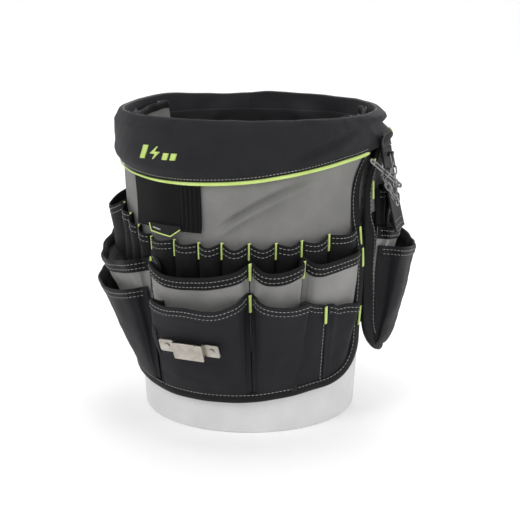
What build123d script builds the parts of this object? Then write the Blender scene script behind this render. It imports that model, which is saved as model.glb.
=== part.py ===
from build123d import *
import math
import os

# Tool bucket organizer: a fabric cover with tiers of pockets, pulled over the rim of a
# standard 5 gallon pail. Millimetres, +Z up, origin at the centre of the pail's underside.
# Bearings are degrees from the front (-Y) towards +X, the right seen from the front.

# --- pail -----------------------------------------------------------------------------
PAIL_FOOT_RADIUS = 131.0
PAIL_HEIGHT = 368.0
PAIL_TAPER = 0.0584
PAIL_WALL = 2.0
PAIL_FLOOR = 2.5
RIM_DEPTH = 11.0
RIM_PROUD = 2.8
RING_Z = 336.0
RING_HEIGHT = 5.0

# --- cloth and its gaps ---------------------------------------------------------------
GAP = 0.3
CLOTH = 2.2
BASE_INNER = 1.6
BASE_OUTER = 4.0
LINER_THICK = 1.6
LINER_FOOT = 130.0
LINER_TOP = 352.0
GUSSET_ANGLE = 0.8

# --- aprons -----------------------------------------------------------------------------
FRONT_LEFT = -125.5
FRONT_RIGHT = 55.5
REAR_LEFT = 58.2
REAR_RIGHT = 231.8
EDGE_BINDING = 6.0
HEM_BINDING = 11.0
BINDING_PROUD = 2.4
HEM_LIFT = 25.0
HEM_MIDDLE = 69.5
HEM_LOW_BEARING = -10.0
HEM_RADIUS = 138.0
CORNER_RADIUS = 34.0
RIGHT_CORNER_Z = 56.0
LEFT_CORNER_Z = 77.0
REAR_INNER = 158.6
REAR_OUTER = 161.0
REAR_HEM = 71.0
SEAM_MIDDLE = 318.0
SEAM_LIFT = 21.0
SEAM_LOW_BEARING = -20.0
SEAM_RADIUS = 155.0
REAR_SEAM = 334.0

# --- tool loops: the band of small sleeves under the patch ------------------------------
LOOP_WALL = 1.8
LOOP_SEAMS = [-48.2, -34.0, -22.2, -12.0, -0.5, 10.8, 22.2, 35.2, 49.2]
LOOP_TOP = 229.0
LOOP_FOOT = 152.0
LOOP_PROUD = 11.5
SIDE_SEAMS = [-76.0, -66.0, -57.0, -48.8]
SIDE_TOPS = [264.0, 251.0, 238.0]
PLIERS_SPAN = (-103.0, -76.8)
PLIERS_TOP = 263.0
REAR_SEAMS = [65.0, 72.0, 79.0, 94.0]
REAR_LOOP_TOP = 266.0
REAR_LOOP_FOOT = 190.0
REAR_LOOP_RADIUS = 169.6
BARTACK_ANGLE = 0.9
BARTACK_HEIGHT = 20.0

# --- pockets: span, mouth radius and height, foot radius and height ----------------------
MID_POCKETS = {
    "left": ((-112.0, -49.0), (182.5, 205.0), (152.0, 116.0)),
    "wide": ((-48.0, -0.6), (174.5, 198.0), (150.0, 106.0)),
    "centre": ((0.2, 21.8), (174.0, 196.0), (150.0, 106.0)),
    "right": ((22.6, 49.0), (173.0, 206.0), (150.0, 106.0)),
}
LOW_POCKETS = {
    "left": ((-112.0, -49.0), (184.0, 161.0), (147.5, 87.5)),
    "wide": ((-48.0, -0.6), (184.0, 160.0), (144.0, 66.0)),
    "centre": ((0.2, 31.6), (183.0, 160.0), (144.0, 66.0)),
    "right": ((32.4, 49.0), (180.0, 151.0), (144.5, 72.0)),
}
REAR_SPANS = {"right": (64.6, 115.6), "middle": (116.4, 173.6), "left": (174.4, 225.4)}
REAR_MID_MOUTH = (183.0, 230.0)
REAR_MID_FOOT = (171.5, 130.0)
REAR_LOW_MOUTH = (201.0, 207.0)
REAR_LOW_FOOT = (166.0, 84.0)
MOUTH_BINDING = 19.0
MOUTH_BINDING_THICK = 1.2

# --- pockets inside the pail -----------------------------------------------------------
INNER_POCKETS = {"a": (-129.0, -81.0), "b": (51.0, 99.0)}
INNER_MOUTH = (134.0, 346.0)
INNER_FOOT = (131.0, 200.0)

# --- patch, label and piping ------------------------------------------------------------
PATCH_SPAN = (-57.0, -20.0)
PATCH_HEIGHTS = (247.0, 289.0)
PATCH_THICK = 1.8
LABEL_SPAN = (-47.5, -31.0)
LABEL_HEIGHTS = (231.5, 246.4)
LABEL_THICK = 0.9
PIPING_RADIUS = 2.4
PIPING_OFFSET = 7.4

# --- tape measure clip -------------------------------------------------------------------
CLIP_BEARING = -24.5
CLIP_HEIGHT = 111.0
CLIP_SHEET = 1.4
CLIP_LENGTH = 76.0
CLIP_EAR = 19.0
CLIP_EAR_HEIGHT = 17.0
CLIP_PLATE_HEIGHT = 23.0
CLIP_STANDOFF = 5.0
RIVET_RADIUS = 3.4

# --- tape chain on its strap -------------------------------------------------------------
STRAP_BEARING = 72.0
STRAP_WIDTH = 50.0
STRAP_THICK = 2.4
STRAP_TOP = (169.0, 326.0)
STRAP_FOOT = (188.5, 230.0)
RING_BAR_DOWN = 7.0
RING_WIDTH = 15.0
RING_DROP = 17.0
RING_WIRE = 0.9
RING_STANDOFF = 5.6
RING_SHIFT = -5.0
RING_CORNER = 2.6
TAB_WIDTH = 9.0
TAB_WALL = 1.3
LINK_WIRE = 1.0
LINK_WIDTH = 7.6
LINK_PITCH = 8.5
LINK_SLACK = 0.6
LINK_LENGTH = LINK_PITCH + 4 * LINK_WIRE + LINK_SLACK
LOW_LINK_SPAN = 4.6
LOW_LINK_STANDOFF = 7.2
LINKS_DOWN = 5
LINKS_UP = 4
TOGGLE_LEFT = (168.9, 54.3, 318.8)
TOGGLE_RIGHT = (193.0, 66.2, 284.0)
TOGGLE_WIRE = 1.25
TOGGLE_WIDTH = 6.4
EYE_RADIUS = 6.8
EYE_WIRE = 1.0


def pail_radius(z):
    """Outer radius of the tapered pail at height z."""
    return PAIL_FOOT_RADIUS + PAIL_TAPER * z


def polar(bearing, radius, z):
    """Point at a bearing from the front, a radius and a height."""
    angle = math.radians(bearing)
    return Vector(radius * math.sin(angle), -radius * math.cos(angle), z)


def sector(profile, start, end):
    """Solid made by turning a closed (radius, z) outline from bearing start to end."""
    face = Plane.XZ * make_face(Polyline(*profile, close=True))
    solid = revolve(face, axis=Axis.Z, revolution_arc=end - start)
    return Rot(0, 0, start - 90) * solid


def tilted_plane(middle, lift, low_bearing, at_radius):
    """Plane whose height is middle, less lift at low_bearing and at_radius."""
    slope = lift / at_radius
    low = polar(low_bearing, 1.0, 0)
    return Plane(origin=(0, 0, middle), z_dir=(slope * low.X, slope * low.Y, 1))


def above(solid, plane):
    return split(solid, bisect_by=plane, keep=Keep.TOP)


def below(solid, plane):
    return split(solid, bisect_by=plane, keep=Keep.BOTTOM)


def base_back(z):
    """Radius just outside the front apron's base panel."""
    return pail_radius(z) + BASE_OUTER + GAP


def rear_back(z):
    """Radius just outside the rear apron's base panel."""
    return REAR_OUTER + GAP


def save(name, shape):
    export_step(shape, f"parts/{name}.step")
    print(name, round(shape.volume, 1))


# --- pail --------------------------------------------------------------------------------
def make_pail():
    rim_z = PAIL_HEIGHT - RIM_DEPTH
    rim_radius = pail_radius(PAIL_HEIGHT) + RIM_PROUD
    inner_foot = PAIL_FOOT_RADIUS - PAIL_WALL
    profile = [
        (0, 0),
        (PAIL_FOOT_RADIUS - 1, 0),
        (PAIL_FOOT_RADIUS, 1.5),
        (pail_radius(RING_Z), RING_Z),
        (pail_radius(RING_Z) + RIM_PROUD, RING_Z),
        (pail_radius(RING_Z) + RIM_PROUD, RING_Z + RING_HEIGHT),
        (pail_radius(RING_Z), RING_Z + RING_HEIGHT),
        (pail_radius(rim_z), rim_z),
        (rim_radius, rim_z),
        (rim_radius, PAIL_HEIGHT),
        (pail_radius(PAIL_HEIGHT) - PAIL_WALL, PAIL_HEIGHT),
        (inner_foot, PAIL_FLOOR),
        (0, PAIL_FLOOR),
    ]
    return sector(profile, 0, 360)


# --- collar, liner and piping --------------------------------------------------------------
SEAM = tilted_plane(SEAM_MIDDLE, SEAM_LIFT, SEAM_LOW_BEARING, SEAM_RADIUS)
SEAM_BELOW = SEAM.offset(-PIPING_OFFSET)
HEM = tilted_plane(HEM_MIDDLE, HEM_LIFT, HEM_LOW_BEARING, HEM_RADIUS)
HEM_TOP = HEM.offset(HEM_BINDING)
HEM_ABOVE = HEM.offset(HEM_BINDING + GAP)


def make_collar():
    over_rim = [
        (158.4, 371.6),
        (150.0, 371.6),
        (147.4, 368.5),
        (146.2, LINER_TOP + GAP),
        (148.2, LINER_TOP + GAP),
        (149.0, 366.5),
        (150.4, 368.8),
        (157.4, 368.8),
    ]
    front = [
        (151.2, 290.0),
        (154.0, 290.0),
        (158.5, 306.0),
        (162.4, 326.0),
        (163.2, 350.0),
        (162.6, 364.0),
    ]
    front += over_rim
    front += [(159.8, 363.0), (160.4, 350.0), (159.6, 327.0), (155.8, 307.5)]
    rear = [
        (171.4, REAR_SEAM),
        (174.4, REAR_SEAM),
        (172.5, 344.0),
        (161.6, 355.5),
        (162.6, 364.0),
    ]
    rear += over_rim
    rear += [(159.8, 363.0), (158.6, 354.4), (170.0, 342.6)]
    middle_gap = (FRONT_RIGHT + REAR_LEFT) / 2
    front_part = above(sector(front, middle_gap - 180, middle_gap), SEAM)
    rear_part = sector(rear, middle_gap, middle_gap + 180)
    return front_part + rear_part


def liner_outer(z):
    return pail_radius(z) - PAIL_WALL - 0.8


def make_liner():
    profile = [
        (liner_outer(LINER_FOOT) - LINER_THICK, LINER_FOOT),
        (liner_outer(LINER_FOOT), LINER_FOOT),
        (liner_outer(LINER_TOP), LINER_TOP),
        (liner_outer(LINER_TOP) - LINER_THICK, LINER_TOP),
    ]
    return sector(profile, 0, 360)


def inner_back(z):
    return liner_outer(z) - LINER_THICK - GAP


def make_inner_pocket(span):
    (mouth_r, mouth_z), (foot_r, foot_z) = INNER_MOUTH, INNER_FOOT
    wall = [
        (mouth_r - CLOTH, mouth_z),
        (mouth_r, mouth_z),
        (foot_r, foot_z + CLOTH),
        (inner_back(foot_z + CLOTH), foot_z + CLOTH),
        (inner_back(foot_z), foot_z),
        (foot_r - CLOTH, foot_z),
    ]
    side = [
        (mouth_r - CLOTH, mouth_z),
        (inner_back(mouth_z), mouth_z),
        (inner_back(foot_z), foot_z),
        (foot_r - CLOTH, foot_z),
    ]
    start, end = span
    pocket = sector(wall, start, end)
    pocket += sector(side, start, start + GUSSET_ANGLE)
    pocket += sector(side, end - GUSSET_ANGLE, end)
    return pocket


def make_inner_binding(span):
    mouth_r, mouth_z = INNER_MOUTH
    profile = [
        (mouth_r - CLOTH - MOUTH_BINDING_THICK - GAP, mouth_z - MOUTH_BINDING / 2),
        (mouth_r - CLOTH - GAP, mouth_z - MOUTH_BINDING / 2),
        (mouth_r - CLOTH - GAP, mouth_z + GAP),
        (mouth_r, mouth_z + GAP),
        (mouth_r, mouth_z + 1.5),
        (mouth_r - CLOTH - MOUTH_BINDING_THICK - GAP, mouth_z + 1.5),
    ]
    return sector(profile, *span)


def make_piping():
    """Cord of lime piping in the seam between collar and front apron."""
    low = polar(SEAM_LOW_BEARING, 1.0, 0)
    slope = SEAM_LIFT / SEAM_RADIUS
    radius = pail_radius(300.0) + BASE_INNER + PIPING_RADIUS
    drop = 3.4
    points = []
    count = 24
    for step in range(count + 1):
        bearing = FRONT_LEFT + 1 + (FRONT_RIGHT - FRONT_LEFT - 2) * step / count
        flat = polar(bearing, radius, 0)
        height = SEAM_MIDDLE - slope * (flat.X * low.X + flat.Y * low.Y) - drop
        points.append(Vector(flat.X, flat.Y, height))
    path = Spline(*points)
    section = Plane(origin=path @ 0, z_dir=path % 0) * Circle(PIPING_RADIUS)
    return sweep(section, path=path)


# --- aprons and their bindings --------------------------------------------------------------
def cone_band(inner, outer, low, high, start, end):
    """Band that follows the pail's taper, between two offsets from its surface."""
    profile = [
        (pail_radius(low) + inner, low),
        (pail_radius(low) + outer, low),
        (pail_radius(high) + outer, high),
        (pail_radius(high) + inner, high),
    ]
    return sector(profile, start, end)


def corner_tool(bearing, side, low):
    """What a rounded lower corner takes away; side is +1 where the edge faces right."""
    overlap = 0.4
    reach = 80
    centre_x = side * (overlap - CORNER_RADIUS)
    centre_z = CORNER_RADIUS - overlap
    below = 30
    width = CORNER_RADIUS + 20
    block = Pos(centre_x + side * width / 2, 0, (centre_z - below) / 2) * Box(
        width, reach, centre_z + below
    )
    round_part = Pos(centre_x, 0, centre_z) * Rot(90, 0, 0) * Cylinder(CORNER_RADIUS, 2 * reach)
    return Rot(0, 0, bearing) * Pos(0, -PAIL_FOOT_RADIUS - 20, low) * (block - round_part)


RIGHT_CORNER = corner_tool(FRONT_RIGHT, 1, RIGHT_CORNER_Z)
LEFT_CORNER = corner_tool(FRONT_LEFT, -1, LEFT_CORNER_Z)


def make_front_apron():
    panel = cone_band(
        BASE_INNER,
        BASE_OUTER,
        30,
        345,
        FRONT_LEFT + EDGE_BINDING + 0.1,
        FRONT_RIGHT - EDGE_BINDING - 0.1,
    )
    panel = above(panel, HEM_ABOVE)
    return below(panel, SEAM_BELOW)


def make_front_binding():
    outer = BASE_OUTER + BINDING_PROUD
    whole = cone_band(BASE_INNER, outer, 30, 345, FRONT_LEFT, FRONT_RIGHT)
    whole = below(above(whole, HEM), SEAM_BELOW)
    window = cone_band(
        BASE_INNER - 5,
        outer + 5,
        20,
        355,
        FRONT_LEFT + EDGE_BINDING,
        FRONT_RIGHT - EDGE_BINDING,
    )
    return whole - above(window, HEM_TOP) - RIGHT_CORNER - LEFT_CORNER


def make_rear_apron():
    profile = [
        (REAR_INNER, REAR_HEM + HEM_BINDING + GAP),
        (REAR_OUTER, REAR_HEM + HEM_BINDING + GAP),
        (REAR_OUTER, REAR_SEAM + 6),
        (REAR_INNER, REAR_SEAM + 6),
    ]
    return sector(profile, REAR_LEFT + EDGE_BINDING + 0.1, REAR_RIGHT - EDGE_BINDING - 0.1)


def make_rear_binding():
    outer = REAR_OUTER + BINDING_PROUD
    profile = [
        (REAR_INNER, REAR_HEM),
        (outer, REAR_HEM),
        (outer, REAR_SEAM + 6),
        (REAR_INNER, REAR_SEAM + 6),
    ]
    window = [
        (REAR_INNER - 5, REAR_HEM + HEM_BINDING),
        (outer + 5, REAR_HEM + HEM_BINDING),
        (outer + 5, REAR_SEAM + 20),
        (REAR_INNER - 5, REAR_SEAM + 20),
    ]
    whole = sector(profile, REAR_LEFT, REAR_RIGHT)
    whole -= sector(window, REAR_LEFT + EDGE_BINDING, REAR_RIGHT - EDGE_BINDING)
    whole -= corner_tool(REAR_LEFT, -1, REAR_HEM)
    whole -= corner_tool(REAR_RIGHT, 1, REAR_HEM)
    return whole


# --- tool loops -------------------------------------------------------------------------------
def loop_wall(radius_top, radius_foot, top, foot, start, end):
    profile = [
        (radius_foot - LOOP_WALL, foot),
        (radius_foot, foot),
        (radius_top, top),
        (radius_top - LOOP_WALL, top),
    ]
    half_tack = BARTACK_ANGLE / 2 + 0.1
    return sector(profile, start + half_tack, end - half_tack)


def front_loop_radius(z):
    return pail_radius(z) + BASE_OUTER + LOOP_PROUD


def make_loop_band():
    walls = []
    for start, end in zip(LOOP_SEAMS, LOOP_SEAMS[1:]):
        walls.append(
            loop_wall(
                front_loop_radius(LOOP_TOP),
                front_loop_radius(LOOP_FOOT),
                LOOP_TOP,
                LOOP_FOOT,
                start,
                end,
            )
        )
    return Compound(children=walls)


def make_side_loops():
    walls = []
    for start, end, top in zip(SIDE_SEAMS, SIDE_SEAMS[1:], SIDE_TOPS):
        foot = LOOP_FOOT + 20
        walls.append(
            loop_wall(
                front_loop_radius(top), front_loop_radius(foot), top, foot, start, end
            )
        )
    return Compound(children=walls)


def make_pliers_loop():
    """The wide loop at the side, bowed out from the apron."""
    start, end = PLIERS_SPAN
    top, foot = PLIERS_TOP, 200.0
    wall = [(166.2, foot), (168.4, foot), (174.8, top), (172.6, top)]
    side = [
        (base_back(foot), foot),
        (168.4, foot),
        (174.8, top),
        (base_back(top), top),
    ]
    loop = sector(wall, start, end)
    loop += sector(side, start, start + GUSSET_ANGLE)
    loop += sector(side, end - GUSSET_ANGLE, end)
    return loop


def make_rear_loops():
    walls = []
    for start, end in zip(REAR_SEAMS, REAR_SEAMS[1:]):
        walls.append(
            loop_wall(
                REAR_LOOP_RADIUS,
                REAR_LOOP_RADIUS,
                REAR_LOOP_TOP,
                REAR_LOOP_FOOT,
                start,
                end,
            )
        )
    return Compound(children=walls)


def bartack(bearing, inner, outer, top, height):
    """Dense bar of stitching that pins a loop to the panel behind it."""
    foot = top - height
    profile = [
        (inner(foot), foot),
        (outer(foot), foot),
        (outer(top), top),
        (inner(top), top),
    ]
    return sector(profile, bearing - BARTACK_ANGLE / 2, bearing + BARTACK_ANGLE / 2)


def make_front_bartacks():
    tacks = []
    for bearing in LOOP_SEAMS[:-1]:
        tacks.append(
            bartack(
                bearing,
                base_back,
                lambda z: front_loop_radius(z) + 0.8,
                LOOP_TOP + 1,
                BARTACK_HEIGHT,
            )
        )
    for bearing, top in zip(SIDE_SEAMS[1:-1], SIDE_TOPS[1:]):
        tacks.append(
            bartack(
                bearing,
                base_back,
                lambda z: front_loop_radius(z) + 0.8,
                top,
                BARTACK_HEIGHT,
            )
        )
    return Compound(children=tacks)


def make_edge_bartacks():
    """Bars of stitching on the front apron's right binding, one at each tier's end."""
    bearing = FRONT_RIGHT - EDGE_BINDING / 2
    skin = BASE_OUTER + BINDING_PROUD + GAP
    tacks = []
    for top in (240.0, 214.0, 144.0):
        tacks.append(
            bartack(
                bearing,
                lambda z: pail_radius(z) + skin,
                lambda z: pail_radius(z) + skin + 0.8,
                top,
                BARTACK_HEIGHT,
            )
        )
    return Compound(children=tacks)


def make_rear_bartacks():
    tacks = []
    for bearing in REAR_SEAMS:
        tacks.append(
            bartack(
                bearing,
                rear_back,
                lambda z: REAR_LOOP_RADIUS + 0.8,
                REAR_LOOP_TOP + 1,
                BARTACK_HEIGHT,
            )
        )
    return Compound(children=tacks)


# --- pockets -----------------------------------------------------------------------------------
def line_at(z, low, high):
    """Radius at height z on the straight line through two (radius, z) points."""
    share = (z - low[1]) / (high[1] - low[1])
    return low[0] + share * (high[0] - low[0])


def make_pocket(span, mouth, foot, back, inner_tier=None):
    """Pocket: an outward leaning wall, a floor and two side gussets, open at the top.

    back gives the panel's radius behind it. inner_tier is the (foot, mouth) line of the
    pocket that stands inside this one, which the gussets stop short of.
    """
    mouth_r, mouth_z = mouth
    foot_r, foot_z = foot
    floor_z = foot_z + CLOTH
    wall = [
        (back(foot_z), foot_z),
        (foot_r, foot_z),
        (mouth_r, mouth_z),
        (mouth_r - CLOTH, mouth_z),
        (line_at(floor_z, foot, mouth) - CLOTH, floor_z),
        (back(floor_z), floor_z),
    ]
    side = [(back(foot_z), foot_z), (foot_r, foot_z), (mouth_r, mouth_z)]
    if inner_tier is None:
        side.append((back(mouth_z), mouth_z))
    else:
        clear = 0.5
        inner_foot, inner_mouth = inner_tier
        side.append((line_at(mouth_z, inner_foot, inner_mouth) + clear, mouth_z))
        side.append((inner_foot[0] + clear, inner_foot[1] - clear))
        side.append((back(inner_foot[1] - clear), inner_foot[1] - clear))
    start, end = span
    pocket = sector(wall, start, end)
    pocket += sector(side, start, start + GUSSET_ANGLE)
    pocket += sector(side, end - GUSSET_ANGLE, end)
    return pocket


def loop_outer_line():
    """Outer face of the loop band, as the (foot, mouth) line that mid pockets clear."""
    return (
        (front_loop_radius(LOOP_FOOT), LOOP_FOOT),
        (front_loop_radius(LOOP_TOP), LOOP_TOP),
    )


def make_mouth_binding(span, mouth, foot):
    """Tape over a pocket's mouth: a strip on the outer face of the wall's top."""
    mouth_r, mouth_z = mouth
    low_z = mouth_z - MOUTH_BINDING
    low_r = line_at(low_z, foot, mouth)
    profile = [
        (low_r + GAP, low_z),
        (low_r + GAP + MOUTH_BINDING_THICK, low_z),
        (mouth_r + GAP + MOUTH_BINDING_THICK, mouth_z + 1.4),
        (mouth_r - CLOTH, mouth_z + 1.4),
        (mouth_r - CLOTH, mouth_z + GAP),
        (mouth_r + GAP, mouth_z + GAP),
    ]
    return sector(profile, *span)


# --- patch and label -----------------------------------------------------------------------------
def make_patch():
    inner = BASE_OUTER + GAP
    return cone_band(inner, inner + PATCH_THICK, *PATCH_HEIGHTS, *PATCH_SPAN)


def make_label():
    inner = BASE_OUTER + GAP
    return cone_band(inner, inner + LABEL_THICK, *LABEL_HEIGHTS, *LABEL_SPAN)


# --- tape measure clip ------------------------------------------------------------------------------
def clip_frame():
    """Plane on the wide low pocket's wall: x along the clip, y up the wall, z outward."""
    span, mouth, foot = LOW_POCKETS["wide"]
    radius = line_at(CLIP_HEIGHT, foot, mouth)
    origin = polar(CLIP_BEARING, radius + 1.6, CLIP_HEIGHT)
    outward = polar(CLIP_BEARING, 1.0, 0)
    lean = (mouth[0] - foot[0]) / (mouth[1] - foot[1])
    normal = Vector(outward.X, outward.Y, -lean).normalized()
    along = polar(CLIP_BEARING + 90, 1.0, 0)
    return Plane(origin=origin, x_dir=along, z_dir=normal)


def make_clip():
    """Steel strap with two ears and a raised middle with a rolled top edge."""
    half = CLIP_LENGTH / 2
    ear_end = half - CLIP_EAR
    ear_shift = half - CLIP_EAR / 2
    shape = None
    for side in (-1, 1):
        ear = Pos(side * ear_shift, 0, CLIP_SHEET / 2) * Box(
            CLIP_EAR, CLIP_EAR_HEIGHT, CLIP_SHEET
        )
        ear = fillet(ear.edges().filter_by(Axis.Z), 3.0)
        riser_depth = CLIP_STANDOFF + CLIP_SHEET
        riser = Pos(side * (ear_end - CLIP_SHEET / 2), 0, riser_depth / 2) * Box(
            CLIP_SHEET, CLIP_EAR_HEIGHT, riser_depth
        )
        hole = Pos(side * ear_shift, 0, 0) * Cylinder(RIVET_RADIUS * 0.55 + 0.1, 10)
        piece = ear + riser - hole
        shape = piece if shape is None else shape + piece
    plate_length = 2 * ear_end
    plate_z = CLIP_STANDOFF + CLIP_SHEET / 2
    plate = Pos(0, -2.0, plate_z) * Box(plate_length, CLIP_PLATE_HEIGHT, CLIP_SHEET)
    plate = fillet(plate.edges().filter_by(Axis.Z), 2.0)
    lip_y = CLIP_PLATE_HEIGHT / 2 - 2.6
    lip = Pos(0, lip_y, plate_z + 0.8) * Rot(0, 90, 0) * Cylinder(1.3, plate_length * 0.56)
    return clip_frame() * (shape + plate + lip)


def make_rivets():
    frame = clip_frame()
    shift = CLIP_LENGTH / 2 - CLIP_EAR / 2
    rivets = []
    for side in (-1, 1):
        head_z = CLIP_SHEET + GAP / 3
        head = Pos(side * shift, 0, head_z + 0.7) * Cylinder(RIVET_RADIUS, 1.4)
        shank = Pos(side * shift, 0, head_z / 2) * Cylinder(RIVET_RADIUS * 0.55, head_z)
        rivets.append(frame * (head + shank))
    return Compound(children=rivets)


# --- tape chain ---------------------------------------------------------------------------------------
def strap_frame():
    """Plane on the strap's centre line: x across it, y up it and z out of its face."""
    out = polar(STRAP_BEARING, 1.0, 0)
    across = polar(STRAP_BEARING + 90, 1.0, 0)
    top = out * STRAP_TOP[0] + Vector(0, 0, STRAP_TOP[1])
    foot = out * STRAP_FOOT[0] + Vector(0, 0, STRAP_FOOT[1])
    return Plane(origin=top, x_dir=across, z_dir=across.cross(top - foot))


STRAP = strap_frame()


def make_strap():
    length = math.hypot(STRAP_FOOT[0] - STRAP_TOP[0], STRAP_FOOT[1] - STRAP_TOP[1])
    return STRAP * Pos(0, -length / 2, 0) * Box(STRAP_WIDTH, length, STRAP_THICK)


def make_ring_tab():
    """Loop of narrow webbing on the strap that holds the ring's top bar."""
    clear = RING_WIRE + 0.35
    outer = clear + TAB_WALL
    face = STRAP_THICK / 2 + GAP
    stem = RING_STANDOFF - face
    tab = Pos(0, 0, RING_STANDOFF) * Rot(0, 90, 0) * Cylinder(outer, TAB_WIDTH)
    tab += Pos(0, 0, face + stem / 2) * Box(TAB_WIDTH, 2 * outer, stem)
    tab -= Pos(0, 0, RING_STANDOFF) * Rot(0, 90, 0) * Cylinder(clear, TAB_WIDTH + 2)
    return STRAP * Pos(RING_SHIFT, -RING_BAR_DOWN, 0) * tab


def wire_loop(length, width, wire):
    """Closed wire link lying in its own xy plane, long side along y."""
    bend = width / 2 - wire
    straight = length / 2 - width / 2
    section = Plane.XZ * Pos(bend, 0) * Circle(wire)
    end = revolve(section, axis=Axis.Z, revolution_arc=180)
    loop = Pos(0, straight, 0) * end
    loop += Pos(0, -straight, 0) * Rot(0, 0, 180) * end
    for side in (-1, 1):
        loop += Pos(side * bend, 0, 0) * Rot(90, 0, 0) * Cylinder(wire, 2 * straight)
    return loop


def make_ring():
    """Rectangular wire ring with rounded corners, hanging from the tab by its top bar."""
    outline = Rectangle(RING_WIDTH, RING_DROP)
    path = fillet(outline.vertices(), RING_CORNER).wire()
    section = Plane(origin=path @ 0, z_dir=path % 0) * Circle(RING_WIRE)
    ring = sweep(section, path=path)
    low = RING_BAR_DOWN + RING_DROP / 2
    return STRAP * Pos(RING_SHIFT, -low, RING_STANDOFF) * ring


def link_at(centre, along, hole):
    """One link at a point, its long side along one direction and its hole along another."""
    facing = hole - along * hole.dot(along)
    frame = Plane(origin=centre, x_dir=along.cross(facing), z_dir=facing)
    return frame * wire_loop(LINK_LENGTH, LINK_WIDTH, LINK_WIRE)


def run_of_links(start, end, count):
    """Row of links from one held wire to another, turning a quarter turn each."""
    along = (end - start).normalized()
    out = Vector(0, 0, 1)
    lead = ((end - start).length - (count - 1) * LINK_PITCH) / 2
    links = []
    for index in range(count):
        hole = along.cross(out) if index % 2 == 0 else out
        links.append(link_at(start + along * (lead + index * LINK_PITCH), along, hole))
    return links


def toggle_axes():
    """Toggle's centre, its long direction, its outward normal and its length."""
    left = polar(TOGGLE_LEFT[1], TOGGLE_LEFT[0], TOGGLE_LEFT[2])
    right = polar(TOGGLE_RIGHT[1], TOGGLE_RIGHT[0], TOGGLE_RIGHT[2])
    centre = (left + right) * 0.5
    along = (right - left).normalized()
    outward = Vector(centre.X, centre.Y, 0)
    normal = (outward - along * outward.dot(along)).normalized()
    return centre, along, normal, (right - left).length


def make_toggle():
    """Long closed wire loop, the two sides lying side by side."""
    centre, along, normal, length = toggle_axes()
    frame = Plane(origin=centre, x_dir=along.cross(normal), z_dir=normal)
    return frame * wire_loop(length, TOGGLE_WIDTH, TOGGLE_WIRE)


def make_eye():
    """Round ring at the chain's end that the toggle sits through."""
    centre, along, normal, length = toggle_axes()
    return Plane(origin=centre, x_dir=normal, z_dir=along) * Torus(EYE_RADIUS, EYE_WIRE)


def chain_points():
    """Held points, in the strap's frame: ring bar, right and left of the low link, eye."""
    centre, along, normal, length = toggle_axes()
    centre_on_strap = STRAP.to_local_coords(centre)
    along_on_strap = STRAP.to_local_coords(STRAP.origin + along)
    down = Vector(0, -1, 0)
    to_eye = (down - along_on_strap * down.dot(along_on_strap)).normalized()
    eye = centre_on_strap + to_eye * EYE_RADIUS
    ring = Vector(RING_SHIFT, -RING_BAR_DOWN - RING_DROP, RING_STANDOFF)
    reach_down = LINKS_DOWN * LINK_PITCH - 2 * LINK_WIRE
    reach_up = LINKS_UP * LINK_PITCH - 2 * LINK_WIRE
    flat_down = math.sqrt(reach_down**2 - (LOW_LINK_STANDOFF - ring.Z) ** 2)
    flat_up = math.sqrt(reach_up**2 - (LOW_LINK_STANDOFF - eye.Z) ** 2)
    to_far = Vector(eye.X + LOW_LINK_SPAN - ring.X, eye.Y - ring.Y, 0)
    spread = to_far.length
    share = (spread**2 + flat_down**2 - flat_up**2) / (2 * spread)
    height = math.sqrt(flat_down**2 - share**2)
    toward = to_far.normalized()
    right = ring + toward * share + Vector(-toward.Y, toward.X, 0) * height
    right = Vector(right.X, right.Y, LOW_LINK_STANDOFF)
    left = right - Vector(LOW_LINK_SPAN, 0, 0)
    return ring, right, left, eye


def make_chain_down():
    ring, right, left, eye = chain_points()
    return STRAP * Compound(children=run_of_links(ring, right, LINKS_DOWN))


def make_chain_up():
    ring, right, left, eye = chain_points()
    links = run_of_links(left, eye, LINKS_UP)
    low = (left + right) * 0.5 - Vector(0, LINK_WIDTH / 2 - LINK_WIRE, 0)
    links.append(link_at(low, Vector(1, 0, 0), Vector(0, 0, 1)))
    return STRAP * Compound(children=links)


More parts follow.
